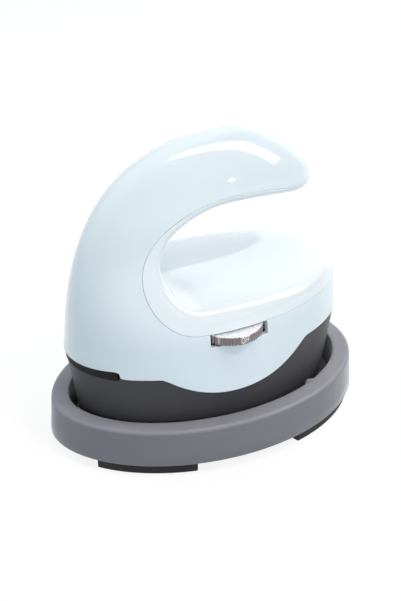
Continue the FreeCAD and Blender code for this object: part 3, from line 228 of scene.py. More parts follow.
class GripEdge:
    """Edge between the body's side and the C-shaped surface, for columns at u.

    At the heel and at the free end the columns turn towards the middle line like the
    lines of an oval's own grid. The edge is rounded by a quarter ellipse: at a distance
    d above it a point moves inwards by inward * (1 - root(1 - (1 - d / climb) squared)).
    """

    def __init__(self, u):
        self.x, self.z = c_line(u)
        self.rim = body_side(self.x, self.z)
        self.rim[(u == 0) | (u == 4)] = 0
        fine = np.linspace(0, 4, 8001)
        self.line_x, self.line_z = c_line(fine)
        steps = np.hypot(np.diff(self.line_x), np.diff(self.line_z))
        self.run = np.concatenate([[0], np.cumsum(steps)])
        self.at = np.interp(u, fine, self.run)
        heel_x = self.x - HEEL_TURN * np.clip(self.x / self.line_x[0], 0, 1) ** 2
        share = np.clip((self.x - TIP_TURN_X) / (self.line_x[-1] - TIP_TURN_X), 0, 1)
        tip_x = self.x - TIP_TURN * share**TIP_TURN_POWER
        saddle, ceiling = fine <= 1, fine >= 3
        heel_end = np.interp(-heel_x, -self.line_x[saddle], self.run[saddle])
        tip_end = np.interp(tip_x, self.line_x[ceiling], self.run[ceiling])
        self.end = np.where(u <= 1, heel_end, np.where(u >= 3, tip_end, self.at))
        self.arm = np.hypot(self.end - self.at, self.rim)
        self.climb = np.interp(u, EDGE_STATIONS, EDGE_CLIMB)
        self.inward = np.interp(u, EDGE_STATIONS, EDGE_INWARD)

    def surface(self, share):
        """Point on the C-shaped surface, share of the way from the edge to the middle."""
        place = self.at[:, None] + (self.end - self.at)[:, None] * share
        x = np.interp(place, self.run, self.line_x)
        z = np.interp(place, self.run, self.line_z)
        y = -self.rim[:, None] * (1 - share)
        oval = np.clip(1 - (x / SWELL_LENGTH) ** 2 - (y / SWELL_WIDTH) ** 2, 0, 1)
        fade = smooth((x - SWELL_X) / SWELL_FADE) * (z < SWELL_TOP)
        return np.stack([x, y, z + sizes().saddle_crown / MM * oval * fade], -1)

    def tuck(self, points, distance):
        """Side points moved inwards by the rounding at their distance above the edge."""
        near = 1 - np.clip(distance / self.climb[:, None], 0, 1)
        inset = self.inward[:, None] * (1 - np.sqrt(1 - near**2)) / self.arm[:, None]
        moved = points + self.surface(inset) - self.surface(0 * inset)
        moved[..., 1] = np.minimum(moved[..., 1], 0)
        return moved


# -------------------- mesh helpers


def grid_faces(columns, rows, around=False, across=False, keep=None):
    """Quads of a grid of columns by rows.

    around joins the last column to the first, across the last row to the first. keep says
    which quads stay.
    """
    i, j = np.meshgrid(np.arange(columns if around else columns - 1),
                       np.arange(rows if across else rows - 1), indexing="ij")
    k, m = (i + 1) % columns, (j + 1) % rows
    quads = np.stack([i * rows + j, k * rows + j, k * rows + m, i * rows + m], -1)
    return quads.reshape(-1, 4) if keep is None else quads[keep]


def both_sides(near, near_faces, far, far_faces):
    """Points and faces of two grids of the near side, the second one mirrored."""
    points = np.concatenate([near.reshape(-1, 3), far.reshape(-1, 3) * (1, -1, 1)])
    return points, np.concatenate([near_faces, far_faces[:, ::-1] + near.size // 3])


def in_scene(name, data):
    """New object at the origin, in the scene."""
    thing = bpy.data.objects.new(name, data)
    bpy.context.scene.collection.objects.link(thing)
    return thing


def face_values(mesh, what, width):
    """Rows of width values, one row per face of the mesh."""
    values = np.empty(len(mesh.polygons) * width)
    mesh.polygons.foreach_get(what, values)
    return values.reshape(-1, width)


def new_piece(name, points, faces, body, material, inside, replaces):
    """Mesh object from points in mm, merged, its faces turned away from inside, in metres."""
    mesh = bpy.data.meshes.new(name)
    points, back = np.unique(np.round(points.reshape(-1, 3), 5), axis=0, return_inverse=True)
    faces = back.reshape(-1)[faces]
    corners = [tuple(dict.fromkeys(face)) for face in faces.tolist()]
    corners = [face for face in corners if len(face) > 2]
    mesh.from_pydata((points * MM).tolist(), [], corners)
    mesh.update()
    arm = face_values(mesh, "center", 3) - np.array(inside)
    outward = np.sum(arm * face_values(mesh, "normal", 3), 1, keepdims=True)
    if (outward * face_values(mesh, "area", 1)).sum() < 0:
        mesh.flip_normals()
    mesh.polygons.foreach_set("use_smooth", np.ones(len(mesh.polygons), bool))
    mesh.update()
    mesh.materials.append(material)
    thing = in_scene(name, mesh)
    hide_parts(*replaces)
    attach(thing, body)
    return thing


def wall(thing, thickness):
    """Gives an open skin its wall, inwards, in mm."""
    solid = thing.modifiers.new("Wall", "SOLIDIFY")
    solid.thickness = thickness * MM
    solid.offset = -1
    solid.use_even_offset = True
    solid.use_quality_normals = True
    return thing


def soften(thing, width, angle=40, segments=2):
    """Rounds the sharp edges by width mm and keeps the broad faces' shading."""
    bevel = thing.modifiers.new("Edges", "BEVEL")
    bevel.width = width * MM
    bevel.segments = segments
    bevel.limit_method = "ANGLE"
    bevel.angle_limit = math.radians(angle)
    bevel.use_clamp_overlap = False
    bevel.miter_outer = "MITER_ARC"
    weights = thing.modifiers.new("Shading", "WEIGHTED_NORMAL")
    weights.mode = "FACE_AREA"
    weights.weight = 50
    return thing


# -------------------- finishes

NOISE_SPAN = (0.3, 0.7)  # range that the noise mostly keeps to


class Finish:
    """A node material; each step that follows adds what the real surface shows."""

    def __init__(self, name, colour, roughness, constants):
        self.material = bpy.data.materials.new(name)
        self.material.use_nodes = True
        self.nodes = self.material.node_tree.nodes
        self.links = self.material.node_tree.links
        self.shader = self.nodes["Principled BSDF"]
        self.shader.inputs["Base Color"].default_value = (*colour, 1)
        self.shader.inputs["Roughness"].default_value = roughness
        for socket, value in constants.items():
            self.shader.inputs[socket].default_value = value
        self.colour, self.roughness = colour, roughness
        self.place = self.nodes.new("ShaderNodeTexCoord").outputs["Object"]

    def node(self, kind, constants):
        """New node with constants on its sockets."""
        made = self.nodes.new("ShaderNode" + kind)
        for socket, value in constants.items():
            made.inputs[socket].default_value = value
        return made

    def noise(self, scale, detail, stretch):
        """Noise over the object's own place, in features per metre."""
        texture = self.node("TexNoise", {"Scale": scale, "Detail": detail})
        place = self.place
        if stretch:
            mapping = self.node("Mapping", {"Scale": stretch})
            self.links.new(place, mapping.inputs["Vector"])
            place = mapping.outputs["Vector"]
        self.links.new(place, texture.inputs["Vector"])
        return texture.outputs["Fac"]

    def shade(self, scale, spread, detail=3.0, stretch=None):
        """Base colour drifts by spread to the lighter and the darker side."""
        ramp = self.node("ValToRGB", {})
        ends = zip(ramp.color_ramp.elements, NOISE_SPAN, (1 - spread, 1 + spread))
        for element, position, gain in ends:
            element.position = position
            element.color = (*(min(max(c * gain, 0), 1) for c in self.colour), 1)
        self.links.new(self.noise(scale, detail, stretch), ramp.inputs["Fac"])
        self.links.new(ramp.outputs["Color"], self.shader.inputs["Base Color"])

    def rub(self, scale, spread, detail=3.0, stretch=None):
        """Roughness drifts by spread, as handling leaves it."""
        span = self.node("MapRange", {
            "From Min": NOISE_SPAN[0], "To Min": max(self.roughness - spread, 0.02),
            "From Max": NOISE_SPAN[1], "To Max": min(self.roughness + spread, 1)})
        self.links.new(self.noise(scale, detail, stretch), span.inputs["Value"])
        self.links.new(span.outputs["Result"], self.shader.inputs["Roughness"])

    def grain(self, scale, depth, detail=2.0, stretch=None):
        """Fine relief, depth in mm."""
        bump = self.node("Bump", {"Strength": 0.6, "Distance": depth * MM})
        self.links.new(self.noise(scale, detail, stretch), bump.inputs["Height"])
        self.links.new(bump.outputs["Normal"], self.shader.inputs["Normal"])

    def painted_rim_light(self, low, high, gain):
        """Painted light on the rim's top: the colour is gain times lighter from low to high,
        heights in mm, standing in for the light the upward rim catches.
        """
        split = self.node("SeparateXYZ", {})
        span = self.node("MapRange", {"From Min": low * MM, "From Max": high * MM})
        mix = self.node("Mix", {})
        mix.data_type = "RGBA"
        mix.blend_type = "MULTIPLY"
        mix.inputs["B"].default_value = (gain, gain, gain, 1)
        base = self.shader.inputs["Base Color"]
        self.links.new(self.place, split.inputs["Vector"])
        self.links.new(split.outputs["Z"], span.inputs["Value"])
        self.links.new(span.outputs["Result"], mix.inputs["Factor"])
        self.links.new(base.links[0].from_socket, mix.inputs["A"])
        self.links.new(mix.outputs["Result"], base)


def linear(colour):
    """Screen colour, 0 to 255, as the linear light the shader works in."""
    c = np.array(colour, float) / 255
    return tuple(np.where(c <= 0.04045, c / 12.92, ((c + 0.055) / 1.055) ** 2.4).tolist())


GLOSSY = {"Specular IOR Level": 0.25, "Coat Weight": 1.0, "Coat Roughness": 0.02}
SATIN = {"Specular IOR Level": 0.8, "Sheen Weight": 0.5, "Sheen Roughness": 0.35}
MOULDED = {"shade": (9, 0.006), "rub": (60, 0.02), "grain": (1400, 0.004)}

# Colour (a setting's name or a screen colour), roughness, constants, numbers of each step.
LOOKS = {
    "shell_plastic": ("shell", 0.3, GLOSSY, MOULDED),
    "cover_plastic": ("cover", 0.3, GLOSSY, MOULDED),
    "shield_plastic": ("shield", 0.5, {"Specular IOR Level": 0.3},
                       {"shade": (40, 0.07), "rub": (90, 0.05), "grain": (2600, 0.03)}),
    # stand_plastic's rim step paints light: the top of the rim is made lighter from 18.6 to 19.7
    # mm up.
    "stand_plastic": ("stand", 0.5, SATIN,
                      {"shade": (30, 0.04), "painted_rim_light": (18.6, 19.7, 1.5), "rub": (80, 0.05),
                       "grain": (2300, 0.03)}),
    "foot_rubber": ((30, 28, 32), 0.6, {"Specular IOR Level": 0.3},
                    {"shade": (60, 0.08), "rub": (90, 0.06), "grain": (1800, 0.04)}),
    "frame_black": ((22, 22, 24), 0.6, {"Specular IOR Level": 0.2},
                    {"shade": (50, 0.08), "grain": (2000, 0.03)}),
    # Painted light: a lighter copy of the dial's silver, put on the wheel's upward faces.
    "dial_top": ((226, 226, 228), 0.3, {"Metallic": 0.4},
                 {"shade": (300, 0.04, 3, (1, 1, 8)), "rub": (300, 0.06), "grain": (900, 0.02)}),
    "dial_silver": ((140, 132, 134), 0.34, {"Metallic": 0.7},
                    {"shade": (300, 0.06, 3, (1, 1, 8)), "rub": (300, 0.08),
                     "grain": (900, 0.02, 2, (1, 1, 6))}),
    "cast_metal": ((150, 152, 156), 0.38, {"Metallic": 0.9},
                   {"shade": (80, 0.06), "rub": (200, 0.08), "grain": (900, 0.03)}),
    "steel": ((190, 190, 192), 0.3, {"Metallic": 1.0},
              {"shade": (200, 0.05), "rub": (300, 0.08), "grain": (1500, 0.01)}),
}

# Plain finishes: screen colour, roughness, the two numbers of shade and the two of grain.
PLAIN_LOOKS = {
    "ceramic": ((236, 232, 222), 0.4, 150, 0.03, 1500, 0.01),
    "mica": ((188, 176, 150), 0.45, 120, 0.12, 700, 0.05),
    "pad_silicone": ((92, 92, 98), 0.55, 60, 0.05, 1500, 0.02),
    "board_green": ((28, 92, 62), 0.35, 250, 0.12, 800, 0.03),
    "part_black": ((30, 30, 32), 0.45, 120, 0.08, 1600, 0.02),
    "part_blue": ((38, 66, 130), 0.4, 120, 0.06, 1600, 0.02),
    "terminal_white": ((226, 226, 220), 0.45, 120, 0.03, 1600, 0.02),
    "wire_brown": ((96, 58, 36), 0.45, 200, 0.06, 1600, 0.02),
    "wire_blue": ((44, 84, 158), 0.45, 200, 0.06, 1600, 0.02),
    "wire_earth": ((120, 150, 50), 0.45, 200, 0.10, 1600, 0.02),
    "wire_sleeve": ((214, 206, 186), 0.7, 500, 0.08, 2500, 0.05),
    "fuse_glass": ((222, 222, 214), 0.25, 200, 0.04, 1200, 0.01),
    "gland_rubber": ((70, 74, 80), 0.6, 80, 0.06, 1800, 0.03),
    "dial_print": ((240, 240, 238), 0.5, 400, 0.03, 2000, 0.01),
}
for look, (hue, gloss, *numbers) in PLAIN_LOOKS.items():
    LOOKS[look] = (hue, gloss, {}, {"shade": numbers[:2], "grain": numbers[2:]})

FINISHES = {}


def finish(name):
    """The finish of that name, made once."""
    if name not in FINISHES:
        colour, roughness, constants, steps = LOOKS[name]
        if isinstance(colour, str):
            colour = tuple(getattr(bpy.context.scene.press_colours, colour))
        else:
            colour = linear(colour)
        made = Finish(name, colour, roughness, constants)
        for step, numbers in steps.items():
            getattr(made, step)(*numbers)
        FINISHES[name] = made.material
    return FINISHES[name]


NODE_FINISH = {
    "rest_pads": "pad_silicone", "heat_plate": "cast_metal", "heating_element": "steel",
    "element_clamps": "steel", "clamp_screws": "steel", "ceramic_beads": "ceramic",
    "temperature_sensor": "fuse_glass", "thermal_fuse": "ceramic", "plate_spacers": "steel",
    "plate_screws": "steel", "insulation_board": "mica", "inner_frame": "frame_black",
    "cord_gland": "gland_rubber", "cord_clamp": "part_black", "cord_clamp_screws": "steel",
    "dial_spindle": "steel", "rotary_switch": "part_black", "control_board": "board_green",
    "board_screws": "steel", "power_relay": "part_blue", "smoothing_capacitor": "part_black",
    "terminal_block": "terminal_white", "live_wire": "wire_brown", "neutral_wire": "wire_blue",
    "earth_wire": "wire_earth", "element_leads": "wire_sleeve", "cover_screws": "steel",
    "shell_screws": "steel",
}


# -------------------- sizes and colours


def colour_setting(name, description, default):
    """Colour setting, as linear light."""
    return FloatVectorProperty(name=name, description=description, subtype="COLOR",
                               size=3, min=0, max=1, default=default)


def length_setting(name, description, default, low, high):
    """Length setting, in metres."""
    return FloatProperty(name=name, description=description, unit="LENGTH",
                         default=default, min=low, max=high)


class PressColours(PropertyGroup):
    shell: colour_setting("Shell", "Pale blue of the body shell", (0.66, 0.75, 0.79))
    cover: colour_setting("Grip cover", "Near white of the saddle and the grip's inside",
                          (0.725, 0.78, 0.81))
    shield: colour_setting("Heat shield", "Charcoal of the skirt", (0.052, 0.050, 0.056))
    stand: colour_setting("Stand", "Grey of the tray", (0.14, 0.139, 0.16))


class PressSizes(PropertyGroup):
    shell_wall: length_setting("Shell wall", "Thickness of the shell", 0.0022, 0.001, 0.004)
    cover_wall: length_setting("Cover wall", "Thickness of the cover", 0.0024, 0.001, 0.004)
    saddle_crown: length_setting("Saddle crown", "Swell of the saddle", 0.0006, 0, 0.002)
    seam_gap: length_setting("Seam", "Gap between shell and cover", 0.00007, 0.00005, 0.001)
    knurls: IntProperty(name="Knurls", description="Knurls round the thumbwheel",
                        default=60, min=12, max=120)
    knurl_depth: length_setting("Knurl depth", "Depth of a knurl", 0.0005, 0.0001, 0.001)


def sizes():
    """The sizes that can be set, in metres."""
    return bpy.context.scene.press_sizes


# -------------------- shell


def shell_side(slotted):
    """Points and faces of the shell's skin on the dial's side.

    A point lies on the straight line, seen from the side, from the seam at u to the outer
    line at u; its y is the body's half width there. Rows close up towards the silhouette
    as 1 - (1 - v) squared, so that y falls evenly to 0. In the wall below the seam the
    first rows end at the dial slot's floor, whose faces are left out.
    """
    corner, slot_rows, rows, slant = 1.5, 7, 40, 0.0028
    middle, reach = body_oval(SEAM_Z)
    bend = math.acos((c_line(1, SEAM_GROWTH)[0] - middle) / reach)
    slot_u = [math.acos((DIAL_X + end - middle) / reach) / bend for end in (SLOT_HALF, -SLOT_HALF)]
    step = 1 + (corner - 1) * (math.acos(NOTCH_X / NOSE_X) - bend) / (math.pi - bend)
    u = chain((0, *slot_u, 1, step - slant, step + slant, corner, 2, 3, 4),
              (50, 22, 6, 16, 2, 16, 24, 44, 54))
    sx, sz = c_line(u, SEAM_GROWTH)
    ox, oz, side = outer_line(u, corner)
    v, row = np.linspace(0, 1, rows), np.arange(rows)
    # Share of the wall's height, at least 1 mm, down to the slot's floor.
    first = (SEAM_Z - SLOT_LOW) / np.maximum(sz - oz, 1.0)[:, None]
    level = np.where(row <= slot_rows, first * row / slot_rows,
                     first + (1 - first) * (row - slot_rows) / (rows - 1 - slot_rows))
    side = side[:, None]
    even = v * (2 + (side - 1) * v) / (1 + side)
    share = smooth((u - 0.8) / 0.5)[:, None]  # past the slot its rows give way to even ones
    place = level * (1 - share) + even * share
    x = sx[:, None] + (ox - sx)[:, None] * place
    z = sz[:, None] + (oz - sz)[:, None] * place
    y = -body_side(x, z)
    y[0] = y[-1] = 0
    wall_height = np.hypot(*(np.array(c_line(u)) - (sx, sz)))[:, None]
    distance = wall_height + np.hypot(x - sx[:, None], z - sz[:, None])
    points = GripEdge(u).tuck(np.stack([x, y, z], -1), distance)
    points[u >= corner, -1, 1] = 0
    keep = np.ones((len(u) - 1, rows - 1), bool)
    if slotted:
        inside = (u[:-1] >= slot_u[0] - 1e-9) & (u[:-1] < slot_u[1] - 1e-9)
        keep[inside, :slot_rows] = False
    else:
        spot = (points[:-1, :-1] + points[1:, 1:]) / 2 * (1, -1, 1) - INLET
        spot -= (spot @ INLET_WAY)[..., None] * INLET_WAY
        keep[np.linalg.norm(spot, axis=-1) < INLET_RADIUS] = False
    return points, grid_faces(len(u), rows, keep=keep)


class HEATPRESS_OT_shell(Operator):
    """Make the body shell"""
    bl_idname = "heatpress.shell"
    bl_label = "Shell"

    def execute(self, context):
        near, near_faces = shell_side(True)
        far, far_faces = shell_side(False)
        points, faces = both_sides(near, near_faces, far, far_faces)
        thing = new_piece("shell", points, faces, "press", finish("shell_plastic"),
                          inside=(0, 0, 0.085), replaces=("body_shell",))
        soften(wall(thing, sizes().shell_wall / MM), 0.18)
        return {"FINISHED"}


# -------------------- grip cover


def cover_side():
    """Points and faces of the grip cover's skin on the dial's side.

    Each column starts on the seam, climbs the body's side, turns over the rounded edge
    and runs over the C-shaped surface to the middle.
    """
    u = chain((0, 1, 2, 3, 4), (80, 34, 50, 60))
    gap = sizes().seam_gap / MM
    sx, sz = c_line(u, tuple(g - gap for g in SEAM_GROWTH))
    edge = GripEdge(u)
    wall_height = np.hypot(sx - edge.x, sz - edge.z)[:, None]
    climb = edge.climb[:, None]
    first = np.arcsin(np.clip(1 - wall_height / climb, 0, 1))
    turn = first + (math.pi / 2 - first) * np.linspace(0, 1, 14)
    low = np.minimum(wall_height, climb)
    level = wall_height + (low - wall_height) * np.linspace(0, 1, 5)[:-1]
    distance = np.concatenate([level, climb * (1 - np.sin(turn))], 1)
    share = distance / wall_height
    x = edge.x[:, None] + (sx - edge.x)[:, None] * share
    z = edge.z[:, None] + (sz - edge.z)[:, None] * share
    y = -body_side(x, z)
    y[0] = y[-1] = 0
    side = edge.tuck(np.stack([x, y, z], -1), distance)
    start = (edge.inward / edge.arm)[:, None]
    over = edge.surface(start + (1 - start) * np.linspace(0, 1, 26)[1:])
    points = np.concatenate([side, over], 1)
    points[:, -1, 1] = 0
    return points, grid_faces(*points.shape[:2])


class HEATPRESS_OT_cover(Operator):
    """Make the grip cover: saddle, inside of the grip and underside of the handle"""
    bl_idname = "heatpress.cover"
    bl_label = "Grip cover"

    def execute(self, context):
        near, faces = cover_side()
        points, faces = both_sides(near, faces, near, faces)
        thing = new_piece("grip_cover_skin", points, faces, "press", finish("cover_plastic"),
                          inside=(0, 0, 0.05), replaces=("grip_cover",))
        soften(wall(thing, sizes().cover_wall / MM), 0.15)
        return {"FINISHED"}


# -------------------- heat shield skirt

# Skirt's lower edge, half axes of its oval there, and how much they grow up to the heel's lip.
SKIRT_LOW, SKIRT_X, SKIRT_Y = 11.9, 53.7, 31.7
SKIRT_GROWTH_X, SKIRT_GROWTH_Y = 4.18, 2.86
SKIRT_GAP, SKIRT_TIP_Z = 0.4, 38.3
SKIRT_WALL, SKIRT_CORNER = 2.0, 0.35
# Its half length and its height where it meets the notch.
SKIRT_NOTCH_REACH, SKIRT_NOTCH_Z = 57.4, 38.0


def wall_ring(outline, low, high, thick, radius, rows=16, arc=4):
    """Points of a closed wall round an outline, columns by a closed row of points.

    outline gives x and y from inset and height; low and high are each column's lowest
    and highest points; each corner is a quarter circle of the given radius.
    """
    turn = np.linspace(0, math.pi / 2, arc)
    s, c = radius * np.sin(turn), radius * np.cos(turn)
    up = np.linspace(0, 1, rows)[1:-1]
    inset = np.concatenate([radius - s, 0 * up, radius - c,
                            thick - radius + s, thick + 0 * up, thick - radius + c])
    share = np.concatenate([0 * s, up, 1 + 0 * s, 1 + 0 * s, 1 - up, 0 * s])
    drop = np.concatenate([radius - c, 0 * up, s - radius, c - radius, 0 * up, radius - s])
    low, high = low[:, None], high[:, None]
    level = low + radius + (high - low - 2 * radius) * share
    z = np.where((share > 0) & (share < 1), level, np.where(share < 0.5, low, high) + drop)
    x, y = outline(np.broadcast_to(inset, z.shape), z)
    return np.stack([x, y, z], -1)


class HEATPRESS_OT_skirt(Operator):
    """Make the heat shield skirt"""
    bl_idname = "heatpress.skirt"
    bl_label = "Heat shield"

    def execute(self, context):
        step, slant = math.acos(NOTCH_X / SKIRT_NOTCH_REACH), 0.006
        half = chain((0, step - slant, step + slant, math.pi), (110, 2, 46))
        turn = np.concatenate([half, 2 * math.pi - half[1:-1][::-1]])[:, None]

        def outline(inset, z):
            """Oval that grows evenly from the plate to just inside the shell."""
            rise = (z - SKIRT_LOW) / (HEEL_LIP_Z - SKIRT_GAP - SKIRT_LOW)
            return ((SKIRT_X + SKIRT_GROWTH_X * rise - inset) * np.cos(turn),
                    (SKIRT_Y + SKIRT_GROWTH_Y * rise - inset) * np.sin(turn))

        x = outline(0, np.full_like(turn, SKIRT_NOTCH_Z))[0][:, 0]
        high = np.where(x < NOTCH_X, SKIRT_TIP_Z, lower_edge(x) - SKIRT_GAP)
        low = np.full(len(turn), SKIRT_LOW)
        points = wall_ring(outline, low, high, SKIRT_WALL, SKIRT_CORNER)
        faces = grid_faces(*points.shape[:2], around=True, across=True)
        new_piece("skirt", points, faces, "press", finish("shield_plastic"),
                  inside=(0, 0, 0.025), replaces=("heat_shield_skirt",))
        return {"FINISHED"}


# -------------------- stand

STAND_LENGTH, STAND_WIDTH = 132.2, 88.1
TIP_POWER, HEEL_POWER = 0.54, 0.485
TRAY_UNDER, TRAY_FLOOR, RIM_Z = 4.5, 6.7, 19.8
FOOT_INSET, FOOT_DEPTH, FOOT_FIRST_X, FOOT_LAST_X = 1.2, 9.0, 22.0, 56.0
# Locating ribs: angle, half width, fade and depth, and the rim's row that gives the angle.
RIB_ANGLE, RIB_HALF, RIB_FADE, RIB_DEPTH = 44, 1.1, 1.0, 1.6
RIB_ROW = 14


def stand_outline(turn, inset):
    """Oval with a sharper tip: width follows share^0.54 times (1 - share)^0.485."""
    full_length, full_width = STAND_LENGTH - 2 * inset, STAND_WIDTH - 2 * inset
    share = (1 + np.cos(turn)) / 2
    widest = TIP_POWER / (TIP_POWER + HEEL_POWER)
    swell = (share / widest) ** TIP_POWER * ((1 - share) / (1 - widest)) ** HEEL_POWER
    return full_length * (share - 0.5), np.sign(np.sin(turn)) * full_width / 2 * swell


def arc_points(inset, z, radius, first, last, count):
    """Inset and height of points on an arc round a centre, from first to last degrees."""
    turn = np.radians(np.linspace(first, last, count))
    return np.stack([inset + radius * np.cos(turn), z + radius * np.sin(turn)], -1)


class HEATPRESS_OT_tray(Operator):
    """Make the stand's tray with its rounded rim and locating ribs"""
    bl_idname = "heatpress.tray"
    bl_label = "Tray"

    def execute(self, context):
        turn = np.linspace(0, 2 * math.pi, 401)[:-1, None]
        middle = STAND_WIDTH / 2
        inset, z = np.concatenate([
            [(far, TRAY_UNDER) for far in (middle, 30, 16, 4, 0.6)],
            arc_points(0.3, TRAY_UNDER + 0.3, 0.3, 255, 195, 3),
            [(0.365, 9.5), (0.69, 14)],
            arc_points(2.6, RIM_Z - 1.6, 1.6, 180, 90, 7),
            [(far, RIM_Z) for far in (3.9, 5.3, 6.9)],
            arc_points(7.7, RIM_Z - 0.5, 0.5, 90, 0, 4),
            [(8.42, 15), (8.65, 10)],
            arc_points(9.6, TRAY_FLOOR + 0.8, 0.8, 195, 255, 3),
            [(far, TRAY_FLOOR) for far in (12, 16, 24, 34, middle)]]).T
        inset = np.broadcast_to(inset, (len(turn), len(inset)))
        z = np.broadcast_to(z, inset.shape)
        x, y = stand_outline(turn, inset)
        row = slice(RIB_ROW, RIB_ROW + 1)
        where = np.arctan2(y[:, row], x[:, row])
        off = np.abs(np.abs(where) - math.radians(RIB_ANGLE)) * np.hypot(x[:, row], y[:, row])
        bulge = 1 - smooth((off - RIB_HALF) / RIB_FADE)
        # Rows of the wall inside the rim, above the floor's fillet, swell into the ribs.
        inner = (inset > 8.0) & (inset < 9.7) & (z > 6.75)
        x, y = stand_outline(turn, inset + RIB_DEPTH * bulge * inner)
        points = np.stack([x, y, z], -1)
        faces = grid_faces(*points.shape[:2], around=True)
        new_piece("tray", points, faces, "stand", finish("stand_plastic"),
                  inside=(0, 0, 0.006), replaces=("stand_tray",))
        return {"FINISHED"}


class HEATPRESS_OT_feet(Operator):
    """Make the four rubber feet"""
    bl_idname = "heatpress.feet"
    bl_label = "Feet"

    def execute(self, context):
        corners = np.array([(0, TRAY_UNDER), (0, 0), (FOOT_DEPTH, 0), (FOOT_DEPTH, TRAY_UNDER),
                            (0, TRAY_UNDER)])
        runs = zip(corners, corners[1:], (5, 8, 5, 8))
        ring_inset, ring_z = np.concatenate([np.linspace(*run) for run in runs]).T
        for end, way in (("tip", -1), ("heel", 1)):
            for side, hand in (("near", -1), ("far", 1)):
                x = way * np.linspace(FOOT_FIRST_X, FOOT_LAST_X, 30)[:, None]
                turn = np.arccos(x / (STAND_LENGTH / 2 - FOOT_INSET))
                px, py = stand_outline(turn, FOOT_INSET + ring_inset)
                points = np.stack([px, hand * np.abs(py), ring_z + 0 * px], -1)
                faces = grid_faces(*points.shape[:2])
                thing = new_piece("%s_%s_foot" % (side, end), points, faces, "stand",
                                  finish("foot_rubber"),
                                  inside=(way * 0.039, hand * 0.0305, 0.0022),
                                  replaces=("foot_%s_%s" % (side, end),))
                close_ends(thing)
                soften(thing, 0.5, angle=50, segments=3)
        return {"FINISHED"}


def close_ends(thing):
    """Fills the open loops at a bar's two ends and turns the new faces outwards."""
    work = bmesh.new()
    work.from_mesh(thing.data)
    edges = [edge for edge in work.edges if edge.is_boundary]
    bmesh.ops.holes_fill(work, edges=edges, sides=0)
    bmesh.ops.recalc_face_normals(work, faces=work.faces)
    work.to_mesh(thing.data)
    work.free()
    thing.data.polygons.foreach_set("use_smooth", np.ones(len(thing.data.polygons), bool))


# -------------------- dial

LABELS = (("OFF", 0), ("1", 45), ("2", 90), ("3", 135))
# Section of the wheel's lower half: distance in from the rim, height above the underside,
# share of the knurl's depth. The upper half mirrors it.
WHEEL = np.array([(10, 0, 0), (9.7, 0, 0), (5, 0, 0), (1.2, 0, 0), (0.6, 0, 0.5),
                  (0.3, 0.1, 0.8), (0, 0.4, 1), (0, 1, 1), (0, 1.7, 1)])
KNURL_HALF, KNURL_POINTS = 0.52, 12
# Faces that point up more than this get the lighter silver, which is painted light on the wheel's
# top.
LIT_TOP_FACING = 0.35  # least upward share of a face's normal that counts as the bright top
LETTER_HIGH, LETTER_NARROW, LETTER_DEPTH, LETTER_OUT = 4.0, 0.48, 0.06, 0.02


class HEATPRESS_OT_dial(Operator):
    """Make the knurled thumbwheel and its numbers"""
    bl_idname = "heatpress.dial"
    bl_label = "Dial"

    def execute(self, context):
        count = sizes().knurls * KNURL_POINTS
        turn = np.arange(count) * 2 * math.pi / count
        pitch = 2 * math.pi * DIAL_RADIUS / sizes().knurls
        away = np.abs((turn * DIAL_RADIUS + pitch / 2) % pitch - pitch / 2)
        notch = np.sqrt(np.clip(1 - (away / KNURL_HALF) ** 2, 0, 1))
        for text, degrees in LABELS:
            centre = math.radians(-90 - degrees)
            off = np.abs((turn - centre + math.pi) % (2 * math.pi) - math.pi) * DIAL_RADIUS
            plain_half = 0.3 + 0.5 * len(text)
            notch = notch * smooth((off - plain_half) / 0.3)
        depth = sizes().knurl_depth / MM * notch[:, None]
        inset, rise, cut = np.concatenate([WHEEL, WHEEL[::-1]]).T
        z = np.where(np.arange(len(rise)) < len(WHEEL), DIAL_LOW + rise, DIAL_HIGH - rise)
        r = DIAL_RADIUS - inset - depth * cut
        points = np.stack([DIAL_X + r * np.cos(turn)[:, None], DIAL_Y + r * np.sin(turn)[:, None],
                           z + 0 * r], -1)
        faces = grid_faces(*points.shape[:2], around=True, across=True)
        wheel = new_piece("dial", points, faces, "dial", finish("dial_silver"),
                          inside=(DIAL_X * MM, DIAL_Y * MM, (DIAL_LOW + DIAL_HIGH) / 2 * MM),
                          replaces=("dial_wheel",))
        # Painted light: upward faces get the lighter copy of the silver, as if lit from above. The
        # sides keep the darker silver.
        wheel.data.materials.append(finish("dial_top"))
        upper = (face_values(wheel.data, "normal", 3)[:, 2] > LIT_TOP_FACING).astype(np.int32)
        wheel.data.polygons.foreach_set("material_index", upper)
        for text, degrees in LABELS:
            dial_label(text, math.radians(-90 - degrees))
        return {"FINISHED"}


def dial_label(text, centre):
    """Raised letters wrapped round the rim: their x becomes an angle, their z a radius."""
    curve = bpy.data.curves.new("letters", "FONT")
    curve.body = text
    curve.size = LETTER_HIGH
    curve.align_x = "CENTER"
    curve.align_y = "CENTER"
    curve.extrude = LETTER_DEPTH
    curve.resolution_u = 6
    maker = in_scene("letters", curve)
    bpy.context.view_layer.update()
    shaped = maker.evaluated_get(bpy.context.evaluated_depsgraph_get())
    mesh = bpy.data.meshes.new_from_object(shaped)
    bpy.data.objects.remove(maker)
    co = np.empty(len(mesh.vertices) * 3)
    mesh.vertices.foreach_get("co", co)
    co = co.reshape(-1, 3)
    angle = centre + LETTER_NARROW * co[:, 0] / DIAL_RADIUS
    radius = DIAL_RADIUS + co[:, 2] + LETTER_OUT
    placed = np.stack([DIAL_X + radius * np.cos(angle), DIAL_Y + radius * np.sin(angle),
                       (DIAL_LOW + DIAL_HIGH) / 2 + co[:, 1]], -1) * MM
    mesh.vertices.foreach_set("co", placed.ravel())
    mesh.update()
    mesh.materials.clear()
    mesh.materials.append(finish("dial_print"))
    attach(in_scene("dial_mark_" + text, mesh), "dial")


# -------------------- solids that show as they are


